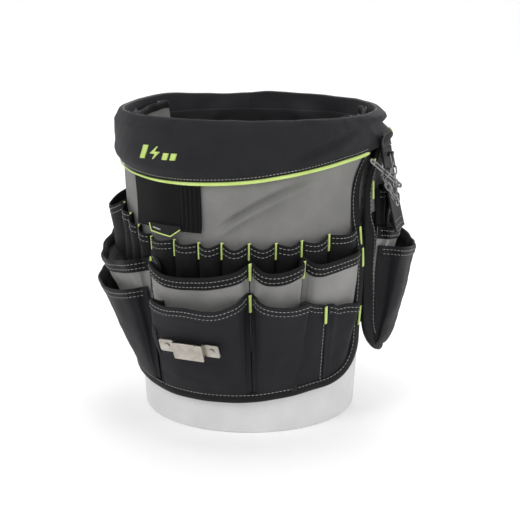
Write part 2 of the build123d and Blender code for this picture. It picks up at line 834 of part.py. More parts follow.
def main():
    os.makedirs("parts", exist_ok=True)
    save("pail", make_pail())
    save("rim_collar", make_collar())
    save("inner_liner", make_liner())
    for letter, span in INNER_POCKETS.items():
        save(f"inner_pocket_{letter}", make_inner_pocket(span))
        save(f"inner_pocket_binding_{letter}", make_inner_binding(span))
    save("collar_piping", make_piping())
    save("front_apron", make_front_apron())
    save("front_apron_binding", make_front_binding())
    save("rear_apron", make_rear_apron())
    save("rear_apron_binding", make_rear_binding())
    save("tool_loop_band", make_loop_band())
    save("side_tool_loops", make_side_loops())
    save("pliers_loop", make_pliers_loop())
    save("rear_tool_loops", make_rear_loops())
    save("loop_bartacks", make_front_bartacks())
    save("edge_bartacks", make_edge_bartacks())
    save("rear_bartacks", make_rear_bartacks())
    for name, (span, mouth, foot) in MID_POCKETS.items():
        pliers_line = ((160.0, 150.0), (175.8, PLIERS_TOP))
        inner = pliers_line if name == "left" else loop_outer_line()
        save(f"mid_pocket_{name}", make_pocket(span, mouth, foot, base_back, inner))
        save(f"mid_binding_{name}", make_mouth_binding(span, mouth, foot))
    for name, (span, mouth, foot) in LOW_POCKETS.items():
        tier = MID_POCKETS[name]
        inner = (tier[2], tier[1])
        save(f"low_pocket_{name}", make_pocket(span, mouth, foot, base_back, inner))
    loop_line = ((REAR_LOOP_RADIUS, REAR_LOOP_FOOT), (REAR_LOOP_RADIUS + 0.8, REAR_LOOP_TOP))
    for name, span in REAR_SPANS.items():
        mid = make_pocket(span, REAR_MID_MOUTH, REAR_MID_FOOT, rear_back, loop_line)
        save(f"rear_mid_pocket_{name}", mid)
        save(
            f"rear_mid_binding_{name}",
            make_mouth_binding(span, REAR_MID_MOUTH, REAR_MID_FOOT),
        )
        inner = (REAR_MID_FOOT, REAR_MID_MOUTH)
        low = make_pocket(span, REAR_LOW_MOUTH, REAR_LOW_FOOT, rear_back, inner)
        save(f"rear_low_pocket_{name}", low)
    save("hook_loop_patch", make_patch())
    save("side_label", make_label())
    save("tape_clip", make_clip())
    save("tape_clip_rivets", make_rivets())
    save("chain_strap", make_strap())
    save("ring_tab", make_ring_tab())
    save("anchor_ring", make_ring())
    save("chain_links_down", make_chain_down())
    save("chain_links_up", make_chain_up())
    save("toggle_eye", make_eye())
    save("toggle_bar", make_toggle())


main()
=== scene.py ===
import math
from collections import namedtuple

import bpy
import numpy as np
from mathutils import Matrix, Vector


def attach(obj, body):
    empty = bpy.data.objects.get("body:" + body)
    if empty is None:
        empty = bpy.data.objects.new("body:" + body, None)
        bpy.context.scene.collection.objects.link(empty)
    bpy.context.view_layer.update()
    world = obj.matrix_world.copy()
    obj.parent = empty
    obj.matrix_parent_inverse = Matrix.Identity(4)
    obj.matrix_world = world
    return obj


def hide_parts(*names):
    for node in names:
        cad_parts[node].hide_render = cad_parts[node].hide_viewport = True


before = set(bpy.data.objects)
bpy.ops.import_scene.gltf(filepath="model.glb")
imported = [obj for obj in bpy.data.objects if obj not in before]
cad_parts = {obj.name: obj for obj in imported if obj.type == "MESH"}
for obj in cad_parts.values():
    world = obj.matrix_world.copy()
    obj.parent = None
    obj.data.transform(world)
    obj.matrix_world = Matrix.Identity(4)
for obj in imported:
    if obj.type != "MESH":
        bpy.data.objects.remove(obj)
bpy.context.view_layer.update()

# Tool bucket organizer: padded cloth pulled over the rim of a pail, with tiers of pockets.
# Cloth shapes are worked out in millimetres and turned into metres where a mesh is made.
# A bearing is in degrees from the front (-Y) towards +X, the right seen from the front.
MM = 0.001
ROOT, STRAP_BODY = "bucket_organizer", "chain_strap"

# --- driving sizes: radii, heights and bearings of the pail and the cloth's edges; arcs are mm per degree ---
PAIL_FOOT, PAIL_TAPER, PAIL_WALL, PAIL_BEAD = 131.0, 0.0584, 2, 2.4
FRONT_LEFT, FRONT_RIGHT = -125.5, 55.5
REAR_LEFT, REAR_RIGHT = 58.2, 231.8
FRONT_CORNER, REAR_CORNER = 46.0, 48.0
EDGE_TAPE, HEM_TAPE = 15.0, 10.5
GREY_FOOT = 222.0
LINER_TOP, LINER_FOOT = 352.0, 131.0
LINER_GAP = 4.2
SEAM_EDGE = 322
DEGREE_ARC, PATCH_ARC, GREY_ARC, COLLAR_ARC = 2.53, 2.63, 2.66, 2.84
COLLAR_MEAN, LINER_MEAN = 162, 143
SEAM_LEFT, SEAM_RIGHT = -124.5, 57.6
STITCH, STITCH_GAP, THREAD = 3.2, 1.5, 0.66
PATCH_LEFT, PATCH_RIGHT, RIB_PITCH = -58.5, -20.8, 5.5
STRAP_BEARING, STRAP_HALF = 72.0, 24.6
MARK_BEARING, MARK_HEIGHT, MARK_SCALE = -39.5, 330.5, 1.25
CAMERA_PLACE, CAMERA_TILT, CAMERA_LENS, CAMERA_SHIFT = (0, -1.455, 0.520), 13.22, 83.08, 0.0197


# --- small mathematics ---
def smooth(x, low, high):
    t = np.clip((np.asarray(x, float) - low) / (high - low), 0, 1)
    return t * t * (3 - 2 * t)


def bump(x, centre, width):
    return np.exp(-(((np.asarray(x, float) - centre) / width) ** 2))


def through(points, x):
    """Smooth curve through a few (x, y) points."""
    px, py = np.array(points, float).T
    x = np.clip(np.asarray(x, float), px[0], px[-1])
    slope = np.gradient(py, px)
    i = np.clip(np.searchsorted(px, x, side="right") - 1, 0, len(px) - 2)
    h = px[i + 1] - px[i]
    t = (x - px[i]) / h
    start = (2 * t**3 - 3 * t**2 + 1) * py[i] + (t**3 - 2 * t**2 + t) * h * slope[i]
    end = (3 * t**2 - 2 * t**3) * py[i + 1] + (t**3 - t**2) * h * slope[i + 1]
    return start + end


def chord(points):
    steps = np.linalg.norm(np.diff(points, axis=0), axis=1)
    return np.concatenate([[0.0], np.cumsum(steps)])


def sample(run, points, places):
    """Points at given places along a line whose running length is run."""
    return np.stack([np.interp(places, run, column) for column in points.T], 1)


def spline(points, count):
    """Even points on a smooth curve through control points of any dimension."""
    points = np.array(points, float)
    s = chord(points)
    fine = np.linspace(0, s[-1], 40 * len(points))
    curve = np.stack([through(np.c_[s, column], fine) for column in points.T], 1)
    run = chord(curve)
    return sample(run, curve, np.linspace(0, run[-1], count))


def ripple(bearing, z, seed, length):
    """Soft random unevenness from -1 to 1, of about one wave in length mm, with no join round the pail."""
    phases = np.random.RandomState(seed)
    x, y = 158 * np.sin(np.radians(bearing)), 158 * np.cos(np.radians(bearing))
    total = 0.0
    for k in range(7):
        way = phases.normal(size=3)
        way = way / np.linalg.norm(way)
        rate = math.tau / (length * phases.uniform(0.6, 1.6))
        total = total + np.sin(rate * (x * way[0] + y * way[1] + z * way[2]) + phases.uniform(0, math.tau))
    return total / 3.6


def polar(bearing, radius, z):
    angle = np.radians(bearing)
    return np.stack(np.broadcast_arrays(radius * np.sin(angle), -radius * np.cos(angle), z), -1)


def unit(v):
    return v / np.maximum(np.linalg.norm(v, axis=-1, keepdims=True), 1e-9)


def wrapped(bearing):
    """The same bearing between -180 and 180 degrees."""
    return (np.asarray(bearing, float) + 180) % 360 - 180


def outward(points):
    """Level directions away from the pail's axis."""
    return unit(points * [1, 1, 0])


def level(height):
    return lambda bearing: height + 0 * bearing


def out_by(surface, lift):
    return lambda bearing, z: surface(bearing, z) + lift


def through_points(points):
    return lambda bearing: through(points, bearing)


# --- the object's guiding surfaces ---
def pail_wall(z):
    return PAIL_FOOT + PAIL_TAPER * z


SEAM = [
    (-185, 337), (-150, 335), (-125, 328), (-105, 317), (-85, 308.5), (-71, 305), (-58, 302), (-46, 300),
    (-32, 299.2), (-16, 300.5), (4, 305), (21, 312), (40, 320), (58.7, 327), (63, 329.5), (70, 334),
    (78, 338.5), (88, 341), (100, 341), (130, 340), (175, 337), (180, 337),
]


def seam_height(bearing):
    """The seam under the collar: low at the front left, high at the right and the back."""
    return through(SEAM, wrapped(bearing))


def top_height(bearing):
    """Where the seam meets an apron that starts out at this bearing."""
    return seam_height(edge_spread(bearing, SEAM_EDGE))


def edge_spread(bearing, z):
    """Aprons' meeting edges lean to the right, away from the front, just under the collar."""
    near = smooth(bearing, 32, 55) * (1 - smooth(bearing, 58, 78))
    return bearing + 6.0 * near * np.clip((z - 272) / 50, 0, 1.1) ** 1.6


def front_hem(bearing):
    return 66 - 25 * np.cos(np.radians(bearing + 22))


def crease(bearing, z):
    """The long slanting fold in the grey cloth, and the soft waves under it."""
    x = bearing * GREY_ARC
    line = 252 + 0.72 * (x + 31) - 0.0022 * (x + 31) ** 2
    across = (z - line) * 0.86
    along = smooth(x, -44, -14) * (1 - smooth(x, 26, 84))
    fold = -3.4 * bump(across, 0, 2.4) + 5.6 * bump(across, -7.0, 4.4) + 2.4 * bump(across, 8, 7)
    waves = 0.8 * np.sin((z - 0.42 * x) / 10.5) * smooth(x, -10, 40) * (1 - smooth(z, 285, 306))
    return fold * along + waves


def front_radius(bearing, z):
    """Outer face of the front apron: close to the pail, standing off at the right edge."""
    flare = 11 * smooth(bearing, 28, 55) * (1 - smooth(z, 180, 300))
    flare = flare + 4 * smooth(-bearing, 100, 125) * (1 - smooth(z, 240, 330))
    top = 4.5 * smooth(z, 300, 335)
    return pail_wall(z) + 4 + flare + top + 0.7 * ripple(bearing, z, 3, 60)


def grey_radius(bearing, z):
    return front_radius(bearing, z) + crease(bearing, z)


def rear_radius(bearing, z):
    """Outer face of the rear apron, drawn in a little at its two edges."""
    edge = 1 - smooth(bearing, REAR_LEFT, REAR_LEFT + 7) + smooth(bearing, REAR_RIGHT - 7, REAR_RIGHT)
    sway = 1.0 * ripple(bearing, z, 5, 70)
    top = 5.0 * bump(bearing, 76, 15) * smooth(z, 285, 330)
    full = 7.0 * bump(bearing, 90, 14) * bump(z, 266, 24)
    return 160.6 - 2.5 * edge + 5.0 * (1 - smooth(z, 70, 130)) + top + full + sway


# --- meshes ---
def make_mesh(name, vertices, faces, uv=None):
    mesh = bpy.data.meshes.new(name)
    mesh.from_pydata((np.asarray(vertices) * MM).tolist(), [], faces)
    if uv is not None:
        layer = mesh.uv_layers.new(name="cloth")
        corners = np.zeros(len(mesh.loops), int)
        mesh.loops.foreach_get("vertex_index", corners)
        layer.data.foreach_set("uv", (np.asarray(uv) * MM)[corners].ravel())
    mesh.polygons.foreach_set("use_smooth", [True] * len(mesh.polygons))
    mesh.update()
    piece = bpy.data.objects.new(name, mesh)
    bpy.context.scene.collection.objects.link(piece)
    return piece


def grid_faces(rows, cols, ring=False, tube=False):
    faces = []
    for i in range(rows if tube else rows - 1):
        for j in range(cols if ring else cols - 1):
            up, right = (i + 1) % rows, (j + 1) % cols
            faces.append((i * cols + j, i * cols + right, up * cols + right, up * cols + j))
    return faces


def lengths(points, axis):
    steps = np.linalg.norm(np.diff(points, axis=axis), axis=-1)
    start = np.zeros_like(np.take(steps, [0], axis=axis))
    return np.concatenate([start, np.cumsum(steps, axis=axis)], axis=axis)


def flat_size(points):
    """Width along the upper row and mean height of a sheet, as if laid flat."""
    return lengths(points, 1)[-1, -1], float(np.mean(lengths(points, 0)[-1]))


def grid_piece(name, points, ring=False):
    """A cloth face from rows (going up) and columns (going right, seen from outside)."""
    rows, cols = points.shape[:2]
    uv = np.stack([lengths(points, 1), lengths(points, 0)], -1).reshape(-1, 2)
    return make_mesh(name, points.reshape(-1, 3), grid_faces(rows, cols, ring), uv)


def freeze(piece):
    """Turns a piece's modifiers into its own mesh."""
    graph = bpy.context.evaluated_depsgraph_get()
    mesh = bpy.data.meshes.new_from_object(piece.evaluated_get(graph))
    piece.modifiers.clear()
    piece.data = mesh
    return piece


def thicken(piece, thickness):
    """Gives a cloth face its thickness, on the inner side."""
    solid = piece.modifiers.new("thickness", "SOLIDIFY")
    solid.thickness = thickness * MM
    solid.offset = -1
    return freeze(piece)


def join_parts(name, parts):
    """One mesh from several (vertices, faces) parts."""
    vertices, faces, start = [], [], 0
    for part_vertices, part_faces in parts:
        vertices.append(part_vertices)
        faces.extend([tuple(k + start for k in face) for face in part_faces])
        start += len(part_vertices)
    return make_mesh(name, np.concatenate(vertices), faces)


def tube_part(path, radius, sides=8, closed=False):
    """A round tube along points, with flat ends unless it is closed."""
    path = np.asarray(path, float)
    ahead = np.roll(path, -1, 0) - np.roll(path, 1, 0)
    if not closed:
        ahead[0], ahead[-1] = path[1] - path[0], path[-1] - path[-2]
    ahead = unit(ahead)
    side = unit(np.cross(ahead, np.where(np.abs(ahead[:, 2:3]) > 0.9, [[1, 0, 0]], [[0, 0, 1]])))
    up = np.cross(side, ahead)
    turn = np.arange(sides) * math.tau / sides
    radius = np.broadcast_to(np.asarray(radius, float), (len(path),))[:, None, None]
    ring = side[:, None] * np.cos(turn)[None, :, None] + up[:, None] * np.sin(turn)[None, :, None]
    vertices = (path[:, None] + radius * ring).reshape(-1, 3)
    faces = grid_faces(len(path), sides, ring=True, tube=closed)
    if not closed:
        faces.append(tuple(range(sides))[::-1])
        faces.append(tuple((len(path) - 1) * sides + k for k in range(sides)))
    return vertices, faces


# --- surfaces that cloth pieces and their stitches share ---
class Cloth:
    """A face: at() takes s (0 to 1, left to right) and drop (mm below its edge), depth() its height at s."""

    def normal(self, s, drop):
        s, drop = np.broadcast_arrays(np.asarray(s, float), np.asarray(drop, float))
        step = 0.002
        right = self.at(np.minimum(s + step, 1), drop) - self.at(np.maximum(s - step, 0), drop)
        down = self.at(s, drop + 0.5) - self.at(s, drop)
        return unit(np.cross(down, right))

    def lifted(self, s, drop, lift):
        return self.at(s, drop) + self.normal(s, drop) * lift

    def face(self, cols, rows):
        """The whole face from foot to mouth."""
        s = np.linspace(0, 1, cols)
        return self.at(s, np.linspace(1, 0, rows)[:, None] * self.depth(s))

    def band(self, profile, cols, start=0.004, end=0.996):
        """A tape along the upper edge; profile is (drop, lift) from inside to outside."""
        s = np.linspace(start, end, cols)
        return np.stack([self.lifted(s, drop, lift) for drop, lift in spline(profile, 26)[::-1]])

    def row(self, drop, lift=0.15, start=0.0, end=1.0):
        """Points and outward directions along one height below the edge."""
        s = np.linspace(start, end, 160)
        return self.lifted(s, drop, lift), self.normal(s, drop)


class Pocket(Cloth):
    """A pocket front with pleated or flat sides, which opens upwards and outwards."""

    def __init__(self, span, proud, mouth, seat, foot, left, right, seat_gap, seed, middle=(), press=None):
        self.span, self.proud, self.mouth, self.foot = span, proud, mouth, foot
        self.press = press
        self.drift, self.fullness = 0.0, 1.0
        self.seat, self.seat_gap, self.seed = seat, seat_gap, seed
        self.width = (span[1] - span[0]) * DEGREE_ARC * 1.06
        self.open_section = self.section(left, right, 1.0, middle)
        self.shut_section = self.section(left, right, 0.25, middle)

    def side(self, kind, inset, share):
        if kind == "seam":
            return []
        if kind == "pleat":
            reach = inset * share + 0.8
            return [
                (0, 0.0), (0.4 * reach, 0.2), (0.98 * reach, 0.46),
                (0.74 * reach, 0.72), (0.8 * reach, 0.9), (1.3 * reach + 1.5, 1.0),
            ]
        low = 0.12 if kind == "flat" else kind
        return [(0, low), (3, low + 0.08), (0.5 * inset, 0.4 + 0.6 * max(low, 0.5)), (inset, 1.0)]

    def section(self, left, right, share, middle):
        near = [(d / self.width, b) for d, b in self.side(*left, share)]
        far = [(1 - d / self.width, b) for d, b in self.side(*right, share)][::-1]
        return spline(near + list(middle) + far, 201)

    def around(self, share):
        return self.span[0] + (self.span[1] - self.span[0]) * share

    def at(self, s, drop):
        s, drop = np.broadcast_arrays(np.asarray(s, float), np.asarray(drop, float))
        even = np.linspace(0, 1, 201)
        open_a, open_b = (np.interp(s, even, self.open_section[:, k]) for k in (0, 1))
        shut_a, shut_b = (np.interp(s, even, self.shut_section[:, k]) for k in (0, 1))
        top = through(self.mouth, open_a)
        t = np.clip(1 - drop / (top - self.foot(self.around(open_a))), 0, 1.2)
        bearing = self.around(shut_a + (open_a - shut_a) * t)
        bearing = bearing + self.drift * (1 - t) * (4.2 * bump(bearing, 32, 8) + 1.3 * bump(bearing, 0, 8))
        out = shut_b + (open_b - shut_b) * t
        z = top - drop
        soft = 1.3 * ripple(bearing, 0.2 * z, self.seed, 34) + 0.5 * ripple(bearing, z, self.seed + 1, 22)
        stand = self.proud * (0.06 + 0.94 * np.clip(t, 0, 2) ** self.fullness)
        gap = self.seat_gap * (0.25 + 0.75 * t)
        radius = self.seat(bearing, z) + gap + stand * out + soft * out * smooth(t, 0, 0.2)
        if self.press:
            share = smooth(bearing, -45, -40) * (1 - smooth(bearing, -9, -4)) * bump(z, 111, 24)
            radius = radius + (self.press(z) - radius) * np.clip(1.6 * share, 0, 1)
        return polar(bearing, radius, z)

    def depth(self, s):
        """How far the foot is below the mouth."""
        across = np.interp(s, np.linspace(0, 1, 201), self.open_section[:, 0])
        return through(self.mouth, across) - self.foot(self.around(across))


class Loops(Cloth):
    """A strip sewn down at its seams, standing away in between as a row of sleeves."""

    def __init__(self, seams, top, foot, proud, seat, gap, sag, flat=0.55):
        self.seams, self.top, self.foot_z = seams, top, foot
        self.proud, self.seat, self.gap, self.sag, self.flat = proud, seat, gap, sag, flat

    def parts(self, s):
        place = np.clip(np.asarray(s, float), 0, 1) * (len(self.seams) - 1)
        k = np.clip(np.floor(place).astype(int), 0, len(self.seams) - 2)
        a = place - k
        seams = np.array(self.seams)
        even = 0.5 - 0.5 * np.cos(np.pi * a)
        a = 0.35 * even + 0.65 * a
        return seams[k] + (seams[k + 1] - seams[k]) * a, np.clip(np.sin(np.pi * a), 0, 1), k

    def at(self, s, drop):
        s, drop = np.broadcast_arrays(np.asarray(s, float), np.asarray(drop, float))
        bearing, swell, k = self.parts(s)
        edge = self.top(bearing)
        depth = edge - self.foot_z
        sag = np.array(self.sag)[k] * swell**1.4 * np.clip(1 - drop / depth, 0, 1)
        z = edge - sag - drop
        lean = (0.82 + 0.18 * smooth(-drop, -40, 0)) * (1 - 0.7 * smooth(-z, -200, -172))
        radius = self.seat(bearing, z) + self.gap + self.proud * swell**self.flat * lean
        return polar(bearing, radius + 0.5 * ripple(bearing, z, 17, 18) * swell, z)

    def depth(self, s):
        return self.top(self.parts(s)[0]) - self.foot_z


# --- thread ---
def stitch_parts(path, out, length=STITCH, gap=STITCH_GAP, thread=THREAD):
    """Separate stitches along a path: plump in the middle, diving into the cloth at their ends."""
    run = chord(path)
    count = max(1, int((run[-1] - gap) / (length + gap)))
    first = (run[-1] - count * (length + gap) + gap) / 2
    parts = []
    for k in range(count):
        s = first + k * (length + gap) + np.array([0.0, 0.22, 0.5, 0.78, 1.0]) * length
        lift = np.array([-0.35, 0.16, 0.3, 0.16, -0.35])[:, None] * thread
        spots = sample(run, path, s) + sample(run, out, s) * lift
        parts.append(tube_part(spots, np.array([0.32, 0.5, 0.54, 0.5, 0.32]) * thread, 6))
    return parts


def bartack_parts(spots, out, width=3.3, pitch=1.15):
    """Dense zigzag stitching up a seam, from its lower to its upper end."""
    run = chord(spots)
    parts = []
    for k in range(int(run[-1] / pitch)):
        s = np.array([k, k + 0.9]) * pitch
        ends, lift = sample(run, spots, s), unit(sample(run, out, s))
        side = unit(np.cross(unit(spots[-1:] - spots[:1]), lift))
        across = np.array([-0.5, -0.3, 0.0, 0.3, 0.5])[:, None] * width
        line = np.linspace(ends[0], ends[1], 5) + side[0] * across
        line = line + lift[0] * np.array([-0.2, 0.5, 0.75, 0.5, -0.2])[:, None]
        parts.append(tube_part(line, np.array([0.4, 0.72, 0.8, 0.72, 0.4]), 6))
    return parts


# --- materials ---
Finish = namedtuple("Finish", "material slot")


def colour(red, green, blue):
    """Linear colour from screen values of 0 to 255."""
    parts = [c / 255 for c in (red, green, blue)]
    return tuple(c / 12.92 if c < 0.04 else ((c + 0.055) / 1.055) ** 2.4 for c in parts) + (1.0,)


class Paint:
    """A node material that is put together call by call; colours are screen values."""

    def __init__(self, name, roughness, metallic=0.0, sheen=0.0, shine=0.5):
        self.material = bpy.data.materials.new(name)
        self.material.use_nodes = True
        self.tree = self.material.node_tree
        self.shader = self.tree.nodes["Principled BSDF"]
        for socket, value in (
            ("Roughness", roughness), ("Metallic", metallic), ("Specular IOR Level", shine),
            ("Sheen Weight", sheen), ("Sheen Roughness", 0.45),
        ):
            self.shader.inputs[socket].default_value = value
        self.place = self.node("ShaderNodeTexCoord").outputs["Object"]

    def node(self, kind, links=(), **settings):
        made = self.tree.nodes.new(kind)
        for key, value in settings.items():
            setattr(made, key, value)
        for socket, value in dict(links).items():
            if isinstance(value, bpy.types.NodeSocket):
                self.tree.links.new(value, made.inputs[socket])
            else:
                made.inputs[socket].default_value = value
        return made

    def maths(self, operation, *values):
        return self.node("ShaderNodeMath", dict(enumerate(values)), operation=operation).outputs[0]

    def blend(self, *weighted):
        """Sum of (value, weight) pairs."""
        total = 0.0
        for value, weight in weighted:
            total = self.maths("MULTIPLY_ADD", value, weight, total)
        return total

    def noise(self, scale, detail=3.0, stretch=None):
        vector = self.place
        if stretch:
            vector = self.node("ShaderNodeMapping", {"Vector": vector, "Scale": stretch}).outputs[0]
        links = {"Vector": vector, "Scale": scale, "Detail": detail}
        return self.node("ShaderNodeTexNoise", links).outputs["Fac"]

    def mix_colour(self, share, low, high, start=0.3, end=0.7):
        ramp = self.node("ShaderNodeValToRGB", {"Fac": share})
        ramp.color_ramp.elements[0].position, ramp.color_ramp.elements[0].color = start, colour(*low)
        ramp.color_ramp.elements[1].position, ramp.color_ramp.elements[1].color = end, colour(*high)
        self.tree.links.new(ramp.outputs["Color"], self.shader.inputs["Base Color"])

    def vary_roughness(self, share, low, high):
        links = {"Value": share, "To Min": low, "To Max": high}
        spread = self.node("ShaderNodeMapRange", links).outputs[0]
        self.tree.links.new(spread, self.shader.inputs["Roughness"])

    def bump(self, height, distance, strength=1.0):
        links = {"Height": height, "Distance": distance, "Strength": strength}
        normal = self.node("ShaderNodeBump", links).outputs["Normal"]
        self.tree.links.new(normal, self.shader.inputs["Normal"])

    def threads(self, kind, pitch):
        """Height of a weave from 0 to 1, by the cloth's own coordinates."""
        cloth = self.node("ShaderNodeUVMap", uv_map="cloth").outputs["UV"]
        axes = self.node("ShaderNodeSeparateXYZ", {0: cloth})
        rate = math.tau / (pitch * MM)
        warp = self.maths("SINE", self.maths("MULTIPLY", axes.outputs[0], rate))
        weft = self.maths("SINE", self.maths("MULTIPLY", axes.outputs[1], rate))
        if kind == "plain":
            both = self.maths("MULTIPLY", warp, weft)
        elif kind == "across":
            slow = self.maths("SINE", self.maths("MULTIPLY", axes.outputs[0], rate * 0.5))
            both = self.blend((weft, 0.8), (slow, 0.2))
        elif kind == "up":
            both = self.blend((warp, 0.8), (weft, 0.2))
        else:
            slant = self.maths("ADD", axes.outputs[0], axes.outputs[1])
            both = self.maths("SINE", self.maths("MULTIPLY", slant, rate))
        return self.maths("MULTIPLY_ADD", both, 0.5, 0.5)


def cloth_finish(name, dark, light, kind, pitch, depth, roughness, sheen, slot=None):
    """Woven cloth: threads, slow changes of colour and wear, and a little fuzz."""
    paint = Paint(name, roughness, sheen=0.5 * sheen, shine=0.17)
    weave = paint.threads(kind, pitch)
    slow, fuzz = paint.noise(22.0, 4.0), paint.noise(1500.0, 2.0)
    paint.mix_colour(paint.blend((weave, 0.3), (slow, 0.45), (fuzz, 0.3)), dark, light, 0.25, 0.8)
    paint.vary_roughness(slow, roughness - 0.08, roughness + 0.1)
    paint.bump(paint.blend((weave, 1.0), (fuzz, 0.5)), depth * MM, 0.8)
    return Finish(paint.material, slot or name)


def thread_finish(name, dark, light, slot):
    """Twisted sewing thread, seen without the cloth's coordinates."""
    paint = Paint(name, 0.5, sheen=0.1, shine=0.3)
    twist, slow = paint.noise(1400.0, 2.0), paint.noise(40.0)
    paint.mix_colour(paint.blend((twist, 0.6), (slow, 0.4)), dark, light)
    paint.bump(twist, 0.15 * MM, 0.6)
    return Finish(paint.material, slot)


def steel_finish(name, dark, light, roughness):
    """Plated sheet or wire: brushed grain, faint stains and small dents."""
    paint = Paint(name, roughness, metallic=1.0)
    grain, stain = paint.noise(240.0, 3.0, (1.0, 1.0, 9.0)), paint.noise(70.0, 4.0)
    paint.mix_colour(paint.blend((grain, 0.4), (stain, 0.6)), dark, light)
    paint.vary_roughness(stain, roughness - 0.08, roughness + 0.14)
    paint.bump(paint.blend((grain, 1.0), (stain, 1.0)), 0.1 * MM, 0.35)
    return Finish(paint.material, name)


def plastic_finish(name, dark, light, roughness):
    """Moulded plastic: very faint orange peel and scuffs."""
    paint = Paint(name, roughness)
    scuff, peel = paint.noise(30.0, 5.0), paint.noise(420.0, 2.0)
    paint.mix_colour(scuff, dark, light)
    paint.vary_roughness(scuff, roughness - 0.06, roughness + 0.1)
    paint.bump(peel, 0.12 * MM, 0.25)
    return Finish(paint.material, name)


GREY = cloth_finish("grey_canvas", (98, 98, 97), (146, 145, 143), "plain", 1.1, 0.16, 0.8, 0.1)
# Mid pockets: the same grey canvas painted lighter. This is painted light that makes up for the shade the
# pockets sit in.
LIGHTENED_POCKET_GREY = cloth_finish(
    "pocket_canvas_painted_light", (112, 112, 111), (162, 161, 159), "plain", 1.1, 0.16, 0.8, 0.1, slot="grey_canvas"
)
BALLISTIC = cloth_finish("black_ballistic", (17, 17, 20), (43, 43, 47), "plain", 1.9, 0.3, 0.6, 0.03)
CANVAS = cloth_finish("black_canvas", (16, 16, 18), (38, 38, 42), "plain", 1.2, 0.18, 0.62, 0.06)
LINING = cloth_finish(
    "black_lining", (16, 16, 18), (38, 38, 41), "twill", 1.0, 0.12, 0.58, 0.1, slot="black_canvas"
)
ELASTIC = cloth_finish("black_elastic", (8, 8, 10), (25, 25, 28), "up", 1.6, 0.3, 0.66, 0.06)
WEBBING = cloth_finish("black_webbing", (8, 8, 9), (26, 26, 28), "across", 1.5, 0.3, 0.6, 0.06)
HOOK_LOOP = cloth_finish("hook_loop", (6, 6, 7), (20, 20, 21), "up", 1.3, 0.4, 0.9, 0.08)
LABEL = cloth_finish("label_cloth", (15, 15, 16), (34, 34, 36), "across", 0.7, 0.1, 0.6, 0.05)
LIME = thread_finish("lime_thread", (176, 204, 92), (222, 242, 156), slot="lime_thread")
WHITE = thread_finish("white_thread", (128, 128, 126), (186, 186, 181), slot=None)
CLIP_STEEL = steel_finish("clip_steel", (150, 144, 134), (206, 201, 192), 0.36)
CHAIN_STEEL = steel_finish("chain_steel", (92, 92, 94), (168, 168, 170), 0.24)
PAIL = plastic_finish("pail_plastic", (206, 206, 207), (216, 216, 216), 0.4)


def settle(piece, finish, nodes=(), body=ROOT):
    """Gives a finished piece its material, its body and the CAD nodes it stands for."""
    piece.data.materials.clear()
    piece.data.materials.append(finish.material)
    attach(piece, body)
    if nodes:
        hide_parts(*nodes)


def lay(
    name, points, thickness, finish, nodes=(), held="stretched", on=("pail",), flat=None, body=ROOT,
    ring=False,
):
    """A cloth sheet: its face, its thickness inward, and what it stands for."""
    piece = thicken(grid_piece(name, points, ring), thickness)
    settle(piece, finish, nodes, body)


def sew(name, parts, finish=WHITE, nodes=(), body=ROOT):
    """Thread or cord made of separate round parts."""
    settle(join_parts(name, parts), finish, nodes, body)


# --- pail ---
def build_pail():
    """The pail from its foot ring up past its stiffening beads and down the inside to its floor."""
    outline = np.array([
        (40, 1.2), (112, 1.2), (122, 0.6), (127, 0.0), (129.6, 0.5), (130.8, 2.0), (131.3, 5),
        (pail_wall(40), 40), (pail_wall(120), 120), (pail_wall(220), 220), (pail_wall(330), 330),
        (pail_wall(336), 336), (pail_wall(336) + PAIL_BEAD, 336.6), (pail_wall(341) + PAIL_BEAD, 340.6),
        (pail_wall(342), 341.4), (pail_wall(356), 356), (pail_wall(357) + PAIL_BEAD, 357.4),
        (pail_wall(364) + 2.6, 364.4), (pail_wall(366) + 1.2, 365.9), (pail_wall(366) - 1.2, 365.7),
        *((pail_wall(z) - PAIL_WALL, z + rise) for z, rise in ((360, 1), (200, 0), (60, 0), (8, 2))),
        (125, 4.4), (115, 3.6), (40, 3.6),
    ])
    run = chord(outline)
    radius, height = sample(run, outline, np.unique(np.concatenate([run, np.linspace(0, run[-1], 120)]))).T
    bearing = np.arange(0, 360, 2.0)
    points = polar(bearing[None, :], radius[:, None], height[:, None])
    rows, cols = points.shape[:2]
    vertices = list(points.reshape(-1, 3)) + [(0, 0, 1.2), (0, 0, 3.6)]
    faces = grid_faces(rows, cols, ring=True)
    last = (rows - 1) * cols
    faces += [(rows * cols, (j + 1) % cols, j) for j in range(cols)]
    faces += [(rows * cols + 1, last + j, last + (j + 1) % cols) for j in range(cols)]
    piece = make_mesh("pail_shell", vertices, faces)
    settle(piece, PAIL, ["pail"])


